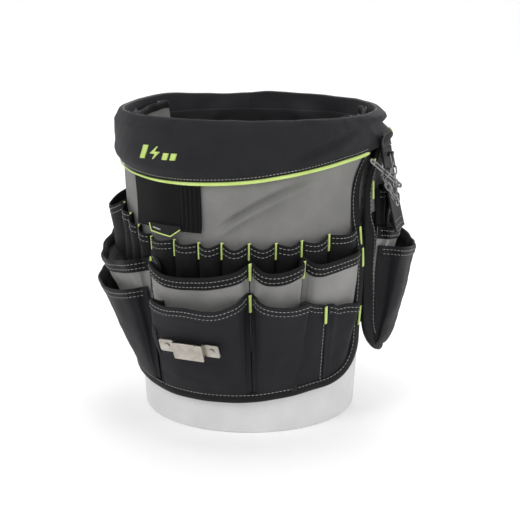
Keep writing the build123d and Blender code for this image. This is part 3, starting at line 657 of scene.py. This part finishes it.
# --- collar and lining ---
def collar_outer(bearing, z):
    """Outer face of the collar between its seam and its shoulder."""
    round_front = (bearing - FRONT_LEFT) % 360 + FRONT_LEFT
    seam = seam_height(bearing)
    rear_side = smooth(np.abs(wrapped(bearing - 145)), 95, 80)
    front_foot = front_radius(round_front, seam)
    foot = front_foot + (rear_radius(round_front, seam) - front_foot) * rear_side + 1.5
    foot = foot + 7.5 * bump(bearing, 80, 15)
    height = z - seam
    radius = foot + (163.3 - foot) * smooth(height, -4, 15) - 4.0 * smooth(z, 356, 368)
    side = bump(bearing, 78, 16)
    radius = radius + side * (4.5 * smooth(z, 356, 363) - 5.0 * bump(z, 352.5, 5))
    radius = radius - 4.5 * bump(bearing, -119, 16) * smooth(z, 345, 368)
    fold_z = 322 + 1.02 * (bearing - 15)
    along = smooth(bearing, 8, 22) * (1 - smooth(bearing, 40, 52))
    radius = radius - 3.0 * bump(z - fold_z, 0, 5) * along + 1.8 * bump(z - fold_z, -10, 6) * along
    puckers = sum(bump(bearing, b, 1.3) for b in (-31.5, 41.0)) * smooth(z, 345, 362)
    soft = 0.9 * ripple(bearing, z * 1.5, 21, 55) + 0.35 * ripple(bearing, z, 22, 20)
    return radius - 1.6 * puckers + soft * smooth(height, 0, 15)


RIM = [
    (-180, 0.5), (-165, -0.5), (-150, 1.5), (-135, 3.6), (-120, 1.2), (-100, -1.2), (-75, -1.8), (-45, -1.6),
    (-10, -1.8), (20, -2.4), (45, -3.2), (62, -3.2), (80, -2.6), (95, -1.6), (112, -0.6), (140, 0.2),
    (158, 1.2), (170, 2.4), (180, 0.5),
]


def rim_lift(bearing):
    """How the top edge waves up and down round the pail."""
    return through(RIM, wrapped(bearing)) + 0.3 * ripple(bearing, 0, 31, 40)


def inner_fold(bearing, z):
    """How far the lining hangs in from the pail's wall, in wide soft folds."""
    drape = np.clip(0.5 + 0.5 * ripple(bearing, 0.5 * z, 41, 75), 0, 1.3)
    left = bump(wrapped(bearing - 192 - 0.3 * (368 - z)), 0, 7)
    right = bump(wrapped(bearing - 158 + 0.35 * (368 - z)), 0, 8)
    return smooth(368 - z, 0, 24) * (4.5 * drape**1.5 + 5.5 * left + 5.0 * right)


def collar_column(bearing, count):
    """Radii and heights from inside the rim, over it and down to the seam."""
    seam = float(seam_height(bearing))
    lip = [(147.4, 346.0), (148.2, 357.0), (149.4, 366.0), (151.2, 370.4), (154.2, 371.7), (157.4, 370.2)]
    inside = spline(lip, 24)
    inside[:, 0] -= inner_fold(bearing, inside[:, 1])
    z = np.linspace(366.5, seam, 46)
    outside = np.stack([collar_outer(bearing, z), z], 1)
    under = np.array([(outside[-1, 0] - 1.8, seam - 1.6), (outside[-1, 0] - 4.0, seam - 2.2)])
    line = np.concatenate([inside, outside, under])
    line[:, 1] += float(rim_lift(bearing)) * smooth(line[:, 1], 335, 370)
    run = chord(line)
    return sample(run, line, np.linspace(0, run[-1], count)).T


def build_collar():
    bearings = np.arange(-180, 180, 1.0)
    columns = [collar_column(b, 64) for b in bearings]
    points = np.stack([polar(b, r, z) for b, (r, z) in zip(bearings, columns)], 1)[::-1]
    flat = (math.tau * COLLAR_MEAN, flat_size(points)[1])
    lay("collar_cloth", points, 1.6, BALLISTIC, ["rim_collar"], flat=flat, ring=True)


def liner_radius(bearing, z):
    sway = 0.8 * ripple(bearing, z, 42, 34) * smooth(LINER_TOP - z, 0, 20)
    return pail_wall(z) - LINER_GAP - inner_fold(bearing, z) - sway


def build_liner():
    bearing = np.arange(180, -180, -1.2)
    z = np.linspace(LINER_FOOT, LINER_TOP, 90)
    points = polar(bearing[None, :], liner_radius(bearing[None, :], z[:, None]), z[:, None])
    flat = (math.tau * LINER_MEAN, LINER_TOP - LINER_FOOT)
    lay("liner_cloth", points, 1.2, LINING, ["inner_liner"], "hung", flat=flat, ring=True)
    for name, span, seed in (("a", (-80, -126), 51), ("b", (99, 53), 52)):
        mouth = [(0, 366), (0.15, 364), (0.3, 365.5), (0.45, 360.5), (0.65, 362), (0.85, 365), (1, 367)]
        pocket = Pocket(span, -6.5, mouth, liner_radius, level(201), ("flat", 14), ("flat", 14), -1.8, seed)
        node = f"inner_pocket_{name}"
        lay(f"{node}_cloth", pocket.face(90, 50), 1.1, GREY, [node], on=["liner_cloth"])
        tape = pocket.band([(8, -2.0), (2, -2.0), (-0.8, -0.6), (1.5, 1.0), (9, 0.9)], 90, 0.02, 0.98)
        binding = [f"inner_pocket_binding_{name}"]
        lay(f"inner_pocket_tape_{name}", tape, 0.6, WEBBING, binding, "folded", [f"{node}_cloth"])


def build_piping():
    bearing = np.linspace(SEAM_LEFT, SEAM_RIGHT, 260)
    z = seam_height(bearing) - 1.0
    path = polar(bearing, collar_outer(bearing, z + 1) + 0.6, z)
    path[:, 2] -= 0.6
    radius = 0.9 + 1.15 * smooth(bearing, -70, -15)
    radius[:3] *= [0.4, 0.8, 0.95]
    radius[-3:] *= [0.95, 0.85, 0.5]
    sew("seam_piping", [tube_part(path, radius, 12)], LIME, ["collar_piping"])


# --- aprons ---
def corner_lift(distance, radius):
    inside = np.clip(radius - distance, 0, radius)
    return radius - np.sqrt(radius**2 - inside**2)


class Apron:
    """One of the two aprons: its edges, its lower outline and its outer face."""

    def __init__(self, left, right, hem, corner, radius, tape_out, narrow):
        self.left, self.right, self.hem, self.corner = left, right, hem, corner
        self.radius, self.tape_out, self.narrow = radius, tape_out, narrow

    def foot(self, bearing):
        near = np.minimum(bearing - self.left, self.right - bearing) * DEGREE_ARC
        return self.hem(bearing) + corner_lift(np.maximum(near, 0), self.corner)

    def foot_above(self, up):
        return lambda bearing: self.foot(bearing) + up

    def outline(self, top_gap):
        """Bearings, heights and inward directions (mm) down one edge, along the hem and up the other."""
        turn = np.linspace(0, math.pi / 2, 16)
        swing = self.corner * (1 - np.cos(turn)) / DEGREE_ARC
        left_top, right_top = (top_height(edge) - top_gap for edge in (self.left, self.right))
        left_z = np.linspace(left_top, self.hem(self.left) + self.corner, 60)
        right_z = np.linspace(self.hem(self.right) + self.corner, right_top, 60)
        corner_left, corner_right = self.left + swing, (self.right - swing)[::-1]
        hem_b = np.linspace(corner_left[-1], corner_right[0], 160)
        rise = self.corner * (1 - np.sin(turn))[1:]
        low = np.concatenate([corner_left[1:], hem_b[1:-1], corner_right[:-1]])
        bearing = np.concatenate([np.full(60, self.left), low, np.full(60, self.right)])
        rise = np.concatenate([rise, 0 * hem_b[1:-1], rise[::-1]])
        z = np.concatenate([left_z, self.hem(low) + rise, right_z])
        flat = np.stack([bearing * DEGREE_ARC, z], 1)
        along = unit(np.gradient(flat, axis=0))
        even = np.ones(5) / 5
        along = unit(np.stack([np.convolve(np.pad(way, 2, "edge"), even, "valid") for way in along.T], 1))
        inward = np.stack([-along[:, 1], along[:, 0]], 1)
        return bearing, z, inward

    def edge_point(self, outline, inset, out):
        """Points a given way in from the outline; positive out is scaled to the tape's height there."""
        bearing, z, inward = outline
        h = z + inward[:, 1] * inset
        b = edge_spread(bearing + inward[:, 0] * inset / DEGREE_ARC, h)
        low = 1 - smooth(z, 215, 255)
        return polar(b, self.radius(b, h) + np.where(out > 0, out * self.tape_out(bearing, low), out), h)

    def tape_width(self, outline):
        """Wider up the edges than along the hem, and narrower again between two heights."""
        low, high, share = self.narrow
        upright = np.abs(outline[2][:, 0]) ** 2
        return (HEM_TAPE + (EDGE_TAPE - HEM_TAPE) * upright) * (1 - share * smooth(outline[1], low, high))


def front_tape_out(bearing, low):
    return 1.8 + (2.6 + 2.0 * smooth(bearing, 40, 50)) * low


def rear_tape_out(bearing, low):
    return 1.8 + 2.4 * low


FRONT = Apron(FRONT_LEFT, FRONT_RIGHT, front_hem, FRONT_CORNER, front_radius, front_tape_out, (270, 322, 0.1))
REAR = Apron(REAR_LEFT, REAR_RIGHT, level(78), REAR_CORNER, rear_radius, rear_tape_out, (228, 252, 0.45))


def hung_points(bearing, low, high, rows, radius):
    """A sheet on the wall between two lists of heights, leaning as the aprons' edges do."""
    t = np.linspace(0, 1, rows)[:, None]
    z = low[None, :] * (1 - t) + high[None, :] * t
    around = edge_spread(bearing[None, :], z)
    return polar(around, radius(around, z), z)


def apron_points(apron, low, high, radius, cols, rows):
    bearing = np.linspace(apron.left + 0.15, apron.right - 0.15, cols)
    return hung_points(bearing, low(bearing), high(bearing), rows, radius)


TAPE_SECTION = spline(
    [(0.85, -2.6), (0.3, -2.9), (-0.02, -2.2), (-0.12, -0.4), (-0.06, 0.7), (0.2, 1.0), (0.6, 1.08),
     (0.98, 0.98), (1.0, 0.6)], 22
)


def build_apron(side, apron, grey_foot, grey_radius_at):
    """Grey cloth above, black backing below it, and one tape round both."""
    cloth, backing = f"{side}_apron_cloth", f"{side}_apron_backing"
    points = apron_points(apron, level(grey_foot - 3), lambda b: top_height(b) + 1.0, grey_radius_at, 320, 90)
    lay(cloth, points, 1.8, GREY, [f"{side}_apron"], "hung", ["collar_cloth"])
    points = apron_points(apron, apron.foot_above(1.0), level(grey_foot), out_by(apron.radius, -0.9), 260, 70)
    lay(backing, points, 1.6, CANVAS, (), "hung", [cloth])
    outline = apron.outline(1.5)
    width = apron.tape_width(outline)
    points = np.stack([apron.edge_point(outline, share * width, out) for share, out in TAPE_SECTION])
    flat = (flat_size(points)[1], lengths(points, 1)[0, -1])
    lay(f"{side}_edge_tape", points, 0.8, WEBBING, [f"{side}_apron_binding"], "folded", [backing], flat)
    path = apron.edge_point(outline, 0.82 * width, 1.12)
    sew(f"{side}_edge_stitches", stitch_parts(path, outward(path)))


# --- tool loops ---
LOOP_SEAMS = [-48.2, -34.0, -22.2, -12.0, -0.5, 10.8, 22.2, 35.2, 50.5]
LOOP_TOP = through_points([
    (-49, 230), (-34, 231.5), (-22, 231), (-12, 232), (-0.5, 232), (10.8, 232), (22.2, 233), (35.2, 237),
    (51, 241),
])
SIDE_TOP = through_points([(-76.5, 259), (-66, 250), (-57, 240), (-48, 232)])
PLIERS_TOP = through_points([(-104, 266), (-98, 259), (-88, 252), (-80, 256), (-76, 263)])
REAR_TOP = through_points([(64, 280), (80, 284), (95, 284)])
FRONT_LOOPS = Loops(LOOP_SEAMS, LOOP_TOP, 152, 10.5, front_radius, 2.2, [1.5, 2, 4, 6, 5, 3, 4, 2.5])
SIDE_LOOPS = Loops([-76.0, -66.0, -57.0, -48.8], SIDE_TOP, 152, 8.5, front_radius, 2.2, [3, 3, 2])
PLIERS = Loops([-103.0, -76.8], PLIERS_TOP, 152, 21.0, front_radius, 2.2, [3.0], 0.7)
REAR_LOOPS = Loops([65.0, 72.0, 79.0, 94.0], REAR_TOP, 190, 8.5, rear_radius, 1.6, [2.5, 2.5, 4])


def build_loops():
    table = (
        ("front_loops", FRONT_LOOPS, "tool_loop_band", 26), ("side_loops", SIDE_LOOPS, "side_tool_loops", 26),
        ("pliers_sleeve", PLIERS, "pliers_loop", 60), ("rear_loops", REAR_LOOPS, "rear_tool_loops", 26),
    )
    stitches = []
    for name, loops, node, per_loop in table:
        count = len(loops.seams) - 1
        face = loops.face(per_loop * count + 1, 34)
        lay(name, face, 1.5, ELASTIC, [node], "gathered", ["front_apron_backing"])
        for drop in (3.6, 9.6):
            for k in range(count):
                stitches += stitch_parts(*loops.row(drop, 0.2, (k + 0.05) / count, (k + 0.95) / count))
    sew("loop_stitches", stitches)


# --- pockets ---
LOW_FOOT, REAR_FOOT = FRONT.foot_above(6.0), REAR.foot_above(6.0)


def front_pocket(span, proud, mouth, *rest):
    return Pocket(span, proud, mouth, front_radius, *rest)


def clip_back(z):
    """The flat face that the tape clip is riveted to."""
    return 144 + (z - 66) * 0.4255 - 0.5


MID = {
    "left": front_pocket(
        (-112, -49), 25, [(0, 213), (0.1, 208), (0.3, 199), (0.55, 191), (0.8, 196), (1, 204)],
        level(112), ("pleat", 10), ("flat", 16), 6.0, 61),
    "wide": front_pocket(
        (-48, -0.2), 24,
        [(0, 214), (0.1, 210), (0.19, 203), (0.28, 196.5), (0.4, 194), (0.55, 195), (0.72, 198),
         (0.88, 203.5), (1, 210)],
        level(104), ("pleat", 25), (0.32, 13), 6.0, 62),
    "centre": front_pocket(
        (0.1, 22.1), 22,
        [(0, 214), (0.06, 211), (0.2, 204.5), (0.42, 202), (0.69, 205), (0.83, 209), (1, 214)],
        level(104), (0.35, 11), (0.32, 7), 6.0, 63),
    "right": front_pocket(
        (22.3, 50.2), 17,
        [(0, 216), (0.1, 209), (0.22, 207), (0.4, 209), (0.62, 212.5), (0.83, 215.5), (1, 218)],
        level(104), (0.36, 15), ("flat", 18), 6.0, 64),
}
LOW = {
    "left": front_pocket(
        (-112, -49), 30, [(0, 173), (0.12, 168), (0.35, 163), (0.6, 161), (0.85, 164), (1, 170)],
        LOW_FOOT, ("pleat", 10), ("flat", 17), 8.0, 71),
    "wide": front_pocket(
        (-48, -0.2), 30,
        [(0, 176), (0.13, 169), (0.21, 163), (0.3, 160.5), (0.48, 161.5), (0.77, 161.5), (0.87, 167),
         (1, 177)],
        LOW_FOOT, ("pleat", 30), (0.15, 16), 8.0, 72, (), clip_back),
    "centre": front_pocket(
        (0.1, 31.6), 29, [(0, 177), (0.12, 170), (0.3, 165), (0.55, 164), (0.7, 166), (0.8, 162), (1, 158)],
        LOW_FOOT, (0.16, 14), ("seam", 0), 8.0, 73,
        [(0.56, 1.0), (0.672, 0.98), (0.668, 0.84), (0.625, 0.66), (0.70, 0.54), (0.84, 0.5), (1.0, 0.42)]),
    "right": front_pocket(
        (31.8, 50.2), 15, [(0, 158), (0.15, 158.5), (0.24, 156), (0.5, 156.5), (1, 153)],
        LOW_FOOT, (0.82, 8), ("flat", 14), 7.4, 74, [(0.3, 0.9), (0.5, 1.0)]),
}
for low_pocket in LOW.values():
    low_pocket.drift = 1.0
REAR_SPANS = {"right": (64.6, 115.6), "middle": (116.4, 173.6), "left": (174.4, 225.4)}


def rear_pocket(span, proud, mouth_z, sag, foot, gap, seed):
    sway = ((0, 5), (0.12, 2), (0.4, -sag), (0.6, -sag), (0.88, 2), (1, 5))
    mouth = [(share, mouth_z + rise) for share, rise in sway]
    return Pocket(span, proud, mouth, rear_radius, foot, ("pleat", 7), ("pleat", 7), gap, seed)


REAR_MID, REAR_LOW = {}, {}
for number, (side_name, side_span) in enumerate(REAR_SPANS.items()):
    REAR_MID[side_name] = rear_pocket(side_span, 16, 230, 4, level(128), 5.0, 81 + number)
    REAR_LOW[side_name] = rear_pocket(side_span, 32, 207, 3, REAR_FOOT, 7.0, 91 + number)
    REAR_LOW[side_name].fullness = 0.5


def build_mid_pocket(tier, key, pocket, cols):
    """A grey pocket with a black tape over its mouth; gives the tape's stitches."""
    name = f"{tier}_{key}_pocket"
    node = f"{tier}_pocket_{key}"
    # The pocket face takes the lighter copy of the grey canvas, which is painted light on the mid pockets.
    lay(name, pocket.face(cols, 44), 1.4, LIGHTENED_POCKET_GREY, [node], on=["front_apron_backing"])
    profile = [
        (9, -2.6), (3, -2.7), (0.2, -2.0), (-1.3, -0.7), (0.0, 0.9), (3, 1.3), (9, 1.35), (13.2, 1.2),
        (14, 0.5),
    ]
    tape = pocket.band(profile, cols)
    lay(f"{name}_tape", tape, 0.9, WEBBING, [f"{tier}_binding_{key}"], "folded", [name])
    return [part for drop in (3.8, 9.6) for part in stitch_parts(*pocket.row(drop, 1.45, 0.03, 0.98))]


def build_low_pocket(tier, key, pocket, cols):
    """A black pocket with its mouth hemmed; gives the hem's stitches."""
    name = f"{tier}_{key}_pocket"
    node = f"{tier}_pocket_{key}"
    lay(name, pocket.face(cols, 60), 1.6, CANVAS, [node], on=["front_apron_backing"])
    profile = [(12, -2.6), (3, -2.6), (0.2, -2.1), (-0.9, -0.9), (0.3, 0.2), (2.5, 0.5), (11, 0.5), (12, 0.0)]
    lay(f"{name}_hem", pocket.band(profile, cols), 0.6, CANVAS, (), "folded", [name])
    return [part for drop in (3.4, 8.6) for part in stitch_parts(*pocket.row(drop, 0.95, 0.03, 0.98))]


def build_tiers(mid_tier, mid_pockets, mid_cols, low_tier, low_pockets, low_cols):
    """One apron's two tiers of pockets; gives their stitches."""
    stitches = []
    for key, pocket in mid_pockets.items():
        stitches += build_mid_pocket(mid_tier, key, pocket, mid_cols)
    for key, pocket in low_pockets.items():
        stitches += build_low_pocket(low_tier, key, pocket, low_cols)
    return stitches


def build_pockets():
    stitches = build_tiers("mid", MID, 150, "low", LOW, 170)
    path = LOW["centre"].at(0.985, np.linspace(22, 98, 60))
    stitches += stitch_parts(path + 0.4 * outward(path), outward(path))
    sew("pocket_stitches", stitches)
    stitches = build_tiers("rear_mid", REAR_MID, 140, "rear_low", REAR_LOW, 150)
    sew("rear_pocket_stitches", stitches)


# --- bartacks ---
def tack(bearing, top, bottom, radius_at):
    """A bartack up the wall at one bearing."""
    z = np.linspace(bottom, top, 24)
    spots = polar(bearing, radius_at(bearing, z), z)
    return bartack_parts(spots, outward(spots))


def seam_tack(cloth, share, top, bottom):
    """A bartack on a cloth's own face, between two drops below its edge."""
    spots = cloth.at(share, np.linspace(bottom, top, 24))
    out = outward(spots)
    return bartack_parts(spots + 2.5 * out, out)


def build_bartacks():
    loops = []
    for seam in LOOP_SEAMS[:-1]:
        top = float(LOOP_TOP(seam)) + 1.5
        loops += tack(seam + 0.3, top, top - 20, out_by(front_radius, 4.4))
    for seam in (-57.2, -66.2, -76.2):
        top = float(SIDE_TOP(seam)) + 1
        loops += tack(seam, top, top - 12, out_by(front_radius, 4.4))
    sew("front_loop_tacks", loops, LIME, ["loop_bartacks"])
    edges = []
    for bearing, top, bottom, lift in (
        (-47.6, 208, 192, 8.2), (53.0, 241, 220, 5.6), (53.2, 216, 194, 7.4), (53.2, 146, 123, 7.4),
    ):
        edges += tack(bearing, top, bottom, out_by(front_radius, lift))
    middle, low = MID["centre"], LOW["centre"]
    for cloth, share in ((middle, 0.0), (middle, 1.0), (low, 0.0), (low, 0.992)):
        edges += seam_tack(cloth, share, 0.5, 22)
    sew("pocket_tacks", edges, LIME, ["edge_bartacks"])
    rear = []
    for bearing, top, bottom in (
        (61.0, 318, 309), (61.6, 291, 270), (115.9, 236, 216), (174.0, 236, 216), (228.0, 236, 216),
    ):
        rear += tack(bearing, top, bottom, out_by(rear_radius, 4.2))
    rear += tack(86.0, 345, 338, out_by(collar_outer, 0.2))
    sew("rear_tacks", rear, LIME, ["rear_bartacks"])


# --- patch, label and embroidery ---
def build_patch():
    """Hook-and-loop patch, ribbed at its right end and standing off a little at its foot."""
    def face(b, z):
        turns = (b - PATCH_RIGHT) * PATCH_ARC * math.tau / RIB_PITCH
        ribs = 0.9 * (0.5 + 0.5 * np.cos(turns)) * smooth(b, -32, -29)
        lift = 2.6 * bump(z, 240, 7) * (0.4 + 0.6 * smooth(b, -50, -25))
        return front_radius(b, z) + 3.2 + ribs + lift

    bearing = np.linspace(PATCH_LEFT, PATCH_RIGHT, 130)
    points = hung_points(bearing, 242.5 + 0 * bearing, seam_height(bearing) - 1.5, 50, face)
    lay("patch_cloth", points, 2.2, HOOK_LOOP, ["hook_loop_patch"], on=["front_apron_cloth"])


def on_wall(line, lift):
    """A line of (bearing, height) points laid on the front apron."""
    return polar(line[:, 0], front_radius(line[:, 0], line[:, 1]) + lift, line[:, 1])


def build_label():
    bearing = np.linspace(-47.4, -30.0, 40)
    foot = np.interp(bearing, [-47.4, -46.4, -35.2, -30.0], [245.0, 238.0, 235.0, 244.5])
    points = hung_points(bearing, foot, 248.0 + 0 * bearing, 14, out_by(front_radius, 6.6))
    flat = (flat_size(points)[0], 11.0)
    lay("label_cloth_tag", points, 0.9, LABEL, ["side_label"], on=["front_apron_cloth"], flat=flat)
    corners = np.array([(-47.4, 247.5), (-46.4, 238.3), (-35.2, 235.4), (-30.0, 244.8)])
    step = np.linspace(0, 0.96, 12)[:, None]
    line = np.concatenate([start * (1 - step) + end * step for start, end in zip(corners, corners[1:])])
    sew("label_edging", [tube_part(on_wall(line, 6.8), 0.75)], LIME)
    stripe = np.linspace((-45.0, 243.2), (-40.6, 241.6), 8)
    sew("label_stripe", [tube_part(on_wall(stripe, 6.8), 0.9)])


MARK = (
    [(-22.5, -7.6), (-15.5, -7.6), (-10.5, 7.6), (-17.5, 7.6)],
    [(-7.0, -9.4), (4.4, 1.6), (-2.2, 1.6), (2.8, 9.4), (-9.2, -1.0), (-2.6, -1.0)],
    [(5.0, -7.6), (12.0, -7.6), (14.6, 0.4), (7.6, 0.4)],
    [(14.4, -7.6), (21.0, -7.6), (23.6, 0.4), (17.0, 0.4)],
)


def build_mark():
    """A generic spark among slanted bars, filled with satin stitches."""
    parts = []
    for outline in MARK:
        outline = np.array(outline, float)
        for z in np.arange(-9.4, 9.6, 0.85):
            crossings = []
            for start, end in zip(outline, np.roll(outline, -1, 0)):
                if (start[1] - z) * (end[1] - z) < 0:
                    crossings.append(start[0] + (end[0] - start[0]) * (z - start[1]) / (end[1] - start[1]))
            crossings.sort()
            for low, high in zip(crossings[::2], crossings[1::2]):
                if high - low > 1.0:
                    x = np.linspace(low, high, 6)
                    b, h = MARK_BEARING + MARK_SCALE * x / COLLAR_ARC, MARK_HEIGHT + z + 0.04 * x
                    path = polar(b, collar_outer(b, h) + np.array([-0.1, 0.5, 0.7, 0.7, 0.5, -0.1]), h)
                    parts.append(tube_part(path, np.array([0.3, 0.5, 0.55, 0.55, 0.5, 0.3]), 6))
    sew("collar_embroidery", parts, LIME)


def build_collar_stitches():
    bearing = np.linspace(SEAM_LEFT + 0.5, SEAM_RIGHT - 0.4, 400)
    z = seam_height(bearing) + 3.4
    path = polar(bearing, collar_outer(bearing, z) + 0.2, z)
    parts = stitch_parts(path, outward(path), 2.8, 1.3, 0.7)
    around = np.linspace(-180, 180, 720)
    lift = rim_lift(around)
    path = polar(around, 152.4, 370.8 + lift)
    inward = unit(path * [-1, -1, 0]) + [0, 0, 1.6]
    parts += stitch_parts(path, unit(inward), 3.0, 1.4, 0.7)
    sew("collar_stitches", parts)


# --- strap with the chain ---
def strap_points(top, foot, rows):
    """The strap's outer face between two (radius, z) ends, slightly hollow across."""
    x = np.linspace(-1, 1, 26)[None, :]
    y = np.linspace(0, 1, rows)[:, None]
    radius = top[0] * y + foot[0] * (1 - y) - 1.6 * np.sin(np.pi * y) + 0.6 * x**2 - 0.5
    z = top[1] * y + foot[1] * (1 - y)
    side = polar(STRAP_BEARING + 90, 1.0, 0.0)
    return polar(STRAP_BEARING, radius, z + 0 * x) + side * (x * STRAP_HALF)[..., None]


def build_strap():
    points = strap_points((169.5, 326.5), (188.6, 230.5), 60)
    flat, root_flat = ((2 * STRAP_HALF, height) for height in (97.5, 15.4))
    held = {"held": "hung", "on": ["collar_cloth"]}
    lay("strap_webbing", points, 2.0, WEBBING, ["chain_strap"], flat=flat, body=STRAP_BODY, **held)
    root = strap_points((170.3, 343.0), (169.9, 327.6), 14)
    lay("strap_root", root, 2.0, WEBBING, flat=root_flat, **held)
    parts = []
    for row in (3, 7):
        path = points[row, 1:-1] - polar(STRAP_BEARING, 0.2, 0.0)
        parts += stitch_parts(path, np.tile(polar(STRAP_BEARING, 1.0, 0.0), (len(path), 1)))
    sew("strap_stitches", parts, body=STRAP_BODY)


def paint_frame_nodes():
    """The hard pieces keep their own shapes and take a finished material."""
    webbing = Paint("tab_webbing", 0.62, sheen=0.05, shine=0.22)
    rib = webbing.noise(700.0, 2.0, (1.0, 1.0, 3.0))
    webbing.mix_colour(rib, (14, 14, 15), (36, 36, 38))
    webbing.bump(rib, 0.3 * MM, 0.7)
    shares = {
        CLIP_STEEL.material: "tape_clip tape_clip_rivets",
        webbing.material: "ring_tab",
        CHAIN_STEEL.material: "anchor_ring chain_links_down chain_links_up toggle_eye toggle_bar",
    }
    for material, nodes in shares.items():
        for node in nodes.split():
            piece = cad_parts[node]
            piece.data.materials.clear()
            piece.data.materials.append(material)


# --- stage, light and camera ---
def build_stage():
    """A white sweep under and behind the object, lit from all round."""
    run = np.linspace(0, math.pi / 2, 24)
    bend = np.stack([1500 + 1500 * np.sin(run), 1500 - 1500 * np.cos(run)], 1)
    side = np.concatenate([[[-3000, 0]], bend, [[3000, 5000]]])
    sweep = [(x, y, z) for y, z in side for x in (-7000, 7000)]
    floor = make_mesh("floor", sweep, grid_faces(len(side), 2))
    paint = Paint("floor_white", 0.6)
    paint.mix_colour(paint.noise(3.0), (250, 250, 250), (252, 252, 252))
    paint.shader.inputs["Emission Color"].default_value = (1, 1, 1, 1)
    paint.shader.inputs["Emission Strength"].default_value = 0.15
    floor.data.materials.append(paint.material)
    world = bpy.data.worlds.new("studio")
    bpy.context.scene.world = world
    world.use_nodes = True
    background = world.node_tree.nodes["Background"].inputs
    background["Color"].default_value, background["Strength"].default_value = (1, 1, 1, 1), 0.68
    for name, place, size, power in (
        ("key", (-1.3, -1.5, 1.9), 1.1, 15), ("fill", (1.7, -1.0, 1.2), 1.3, 9),
        ("top", (0.1, 0.3, 2.2), 1.2, 9), ("back", (0.4, 1.8, 1.4), 1.0, 6),
    ):
        lamp = bpy.data.lights.new(name, "AREA")
        lamp.size, lamp.energy = size, power
        holder = bpy.data.objects.new(name, lamp)
        holder.location = place
        aim = (np.array([0, 0, 0.2]) - place).tolist()
        holder.rotation_mode = "QUATERNION"
        holder.rotation_quaternion = Vector(aim).to_track_quat("-Z", "Y")
        bpy.context.scene.collection.objects.link(holder)
    bpy.context.scene.view_settings.view_transform = "Standard"


def build_camera():
    camera = bpy.data.cameras.new("camera")
    camera.lens, camera.sensor_width, camera.shift_x = CAMERA_LENS, 36.0, CAMERA_SHIFT
    holder = bpy.data.objects.new("camera", camera)
    holder.location = CAMERA_PLACE
    holder.rotation_euler = (math.radians(90 - CAMERA_TILT), 0, 0)
    bpy.context.scene.collection.objects.link(holder)
    bpy.context.scene.camera = holder


build_pail()
build_collar()
build_liner()
build_piping()
build_apron("front", FRONT, GREY_FOOT, grey_radius)
build_apron("rear", REAR, 256.0, rear_radius)
build_loops()
build_pockets()
build_bartacks()
build_patch()
build_label()
build_mark()
build_collar_stitches()
build_strap()
paint_frame_nodes()
build_stage()
build_camera()
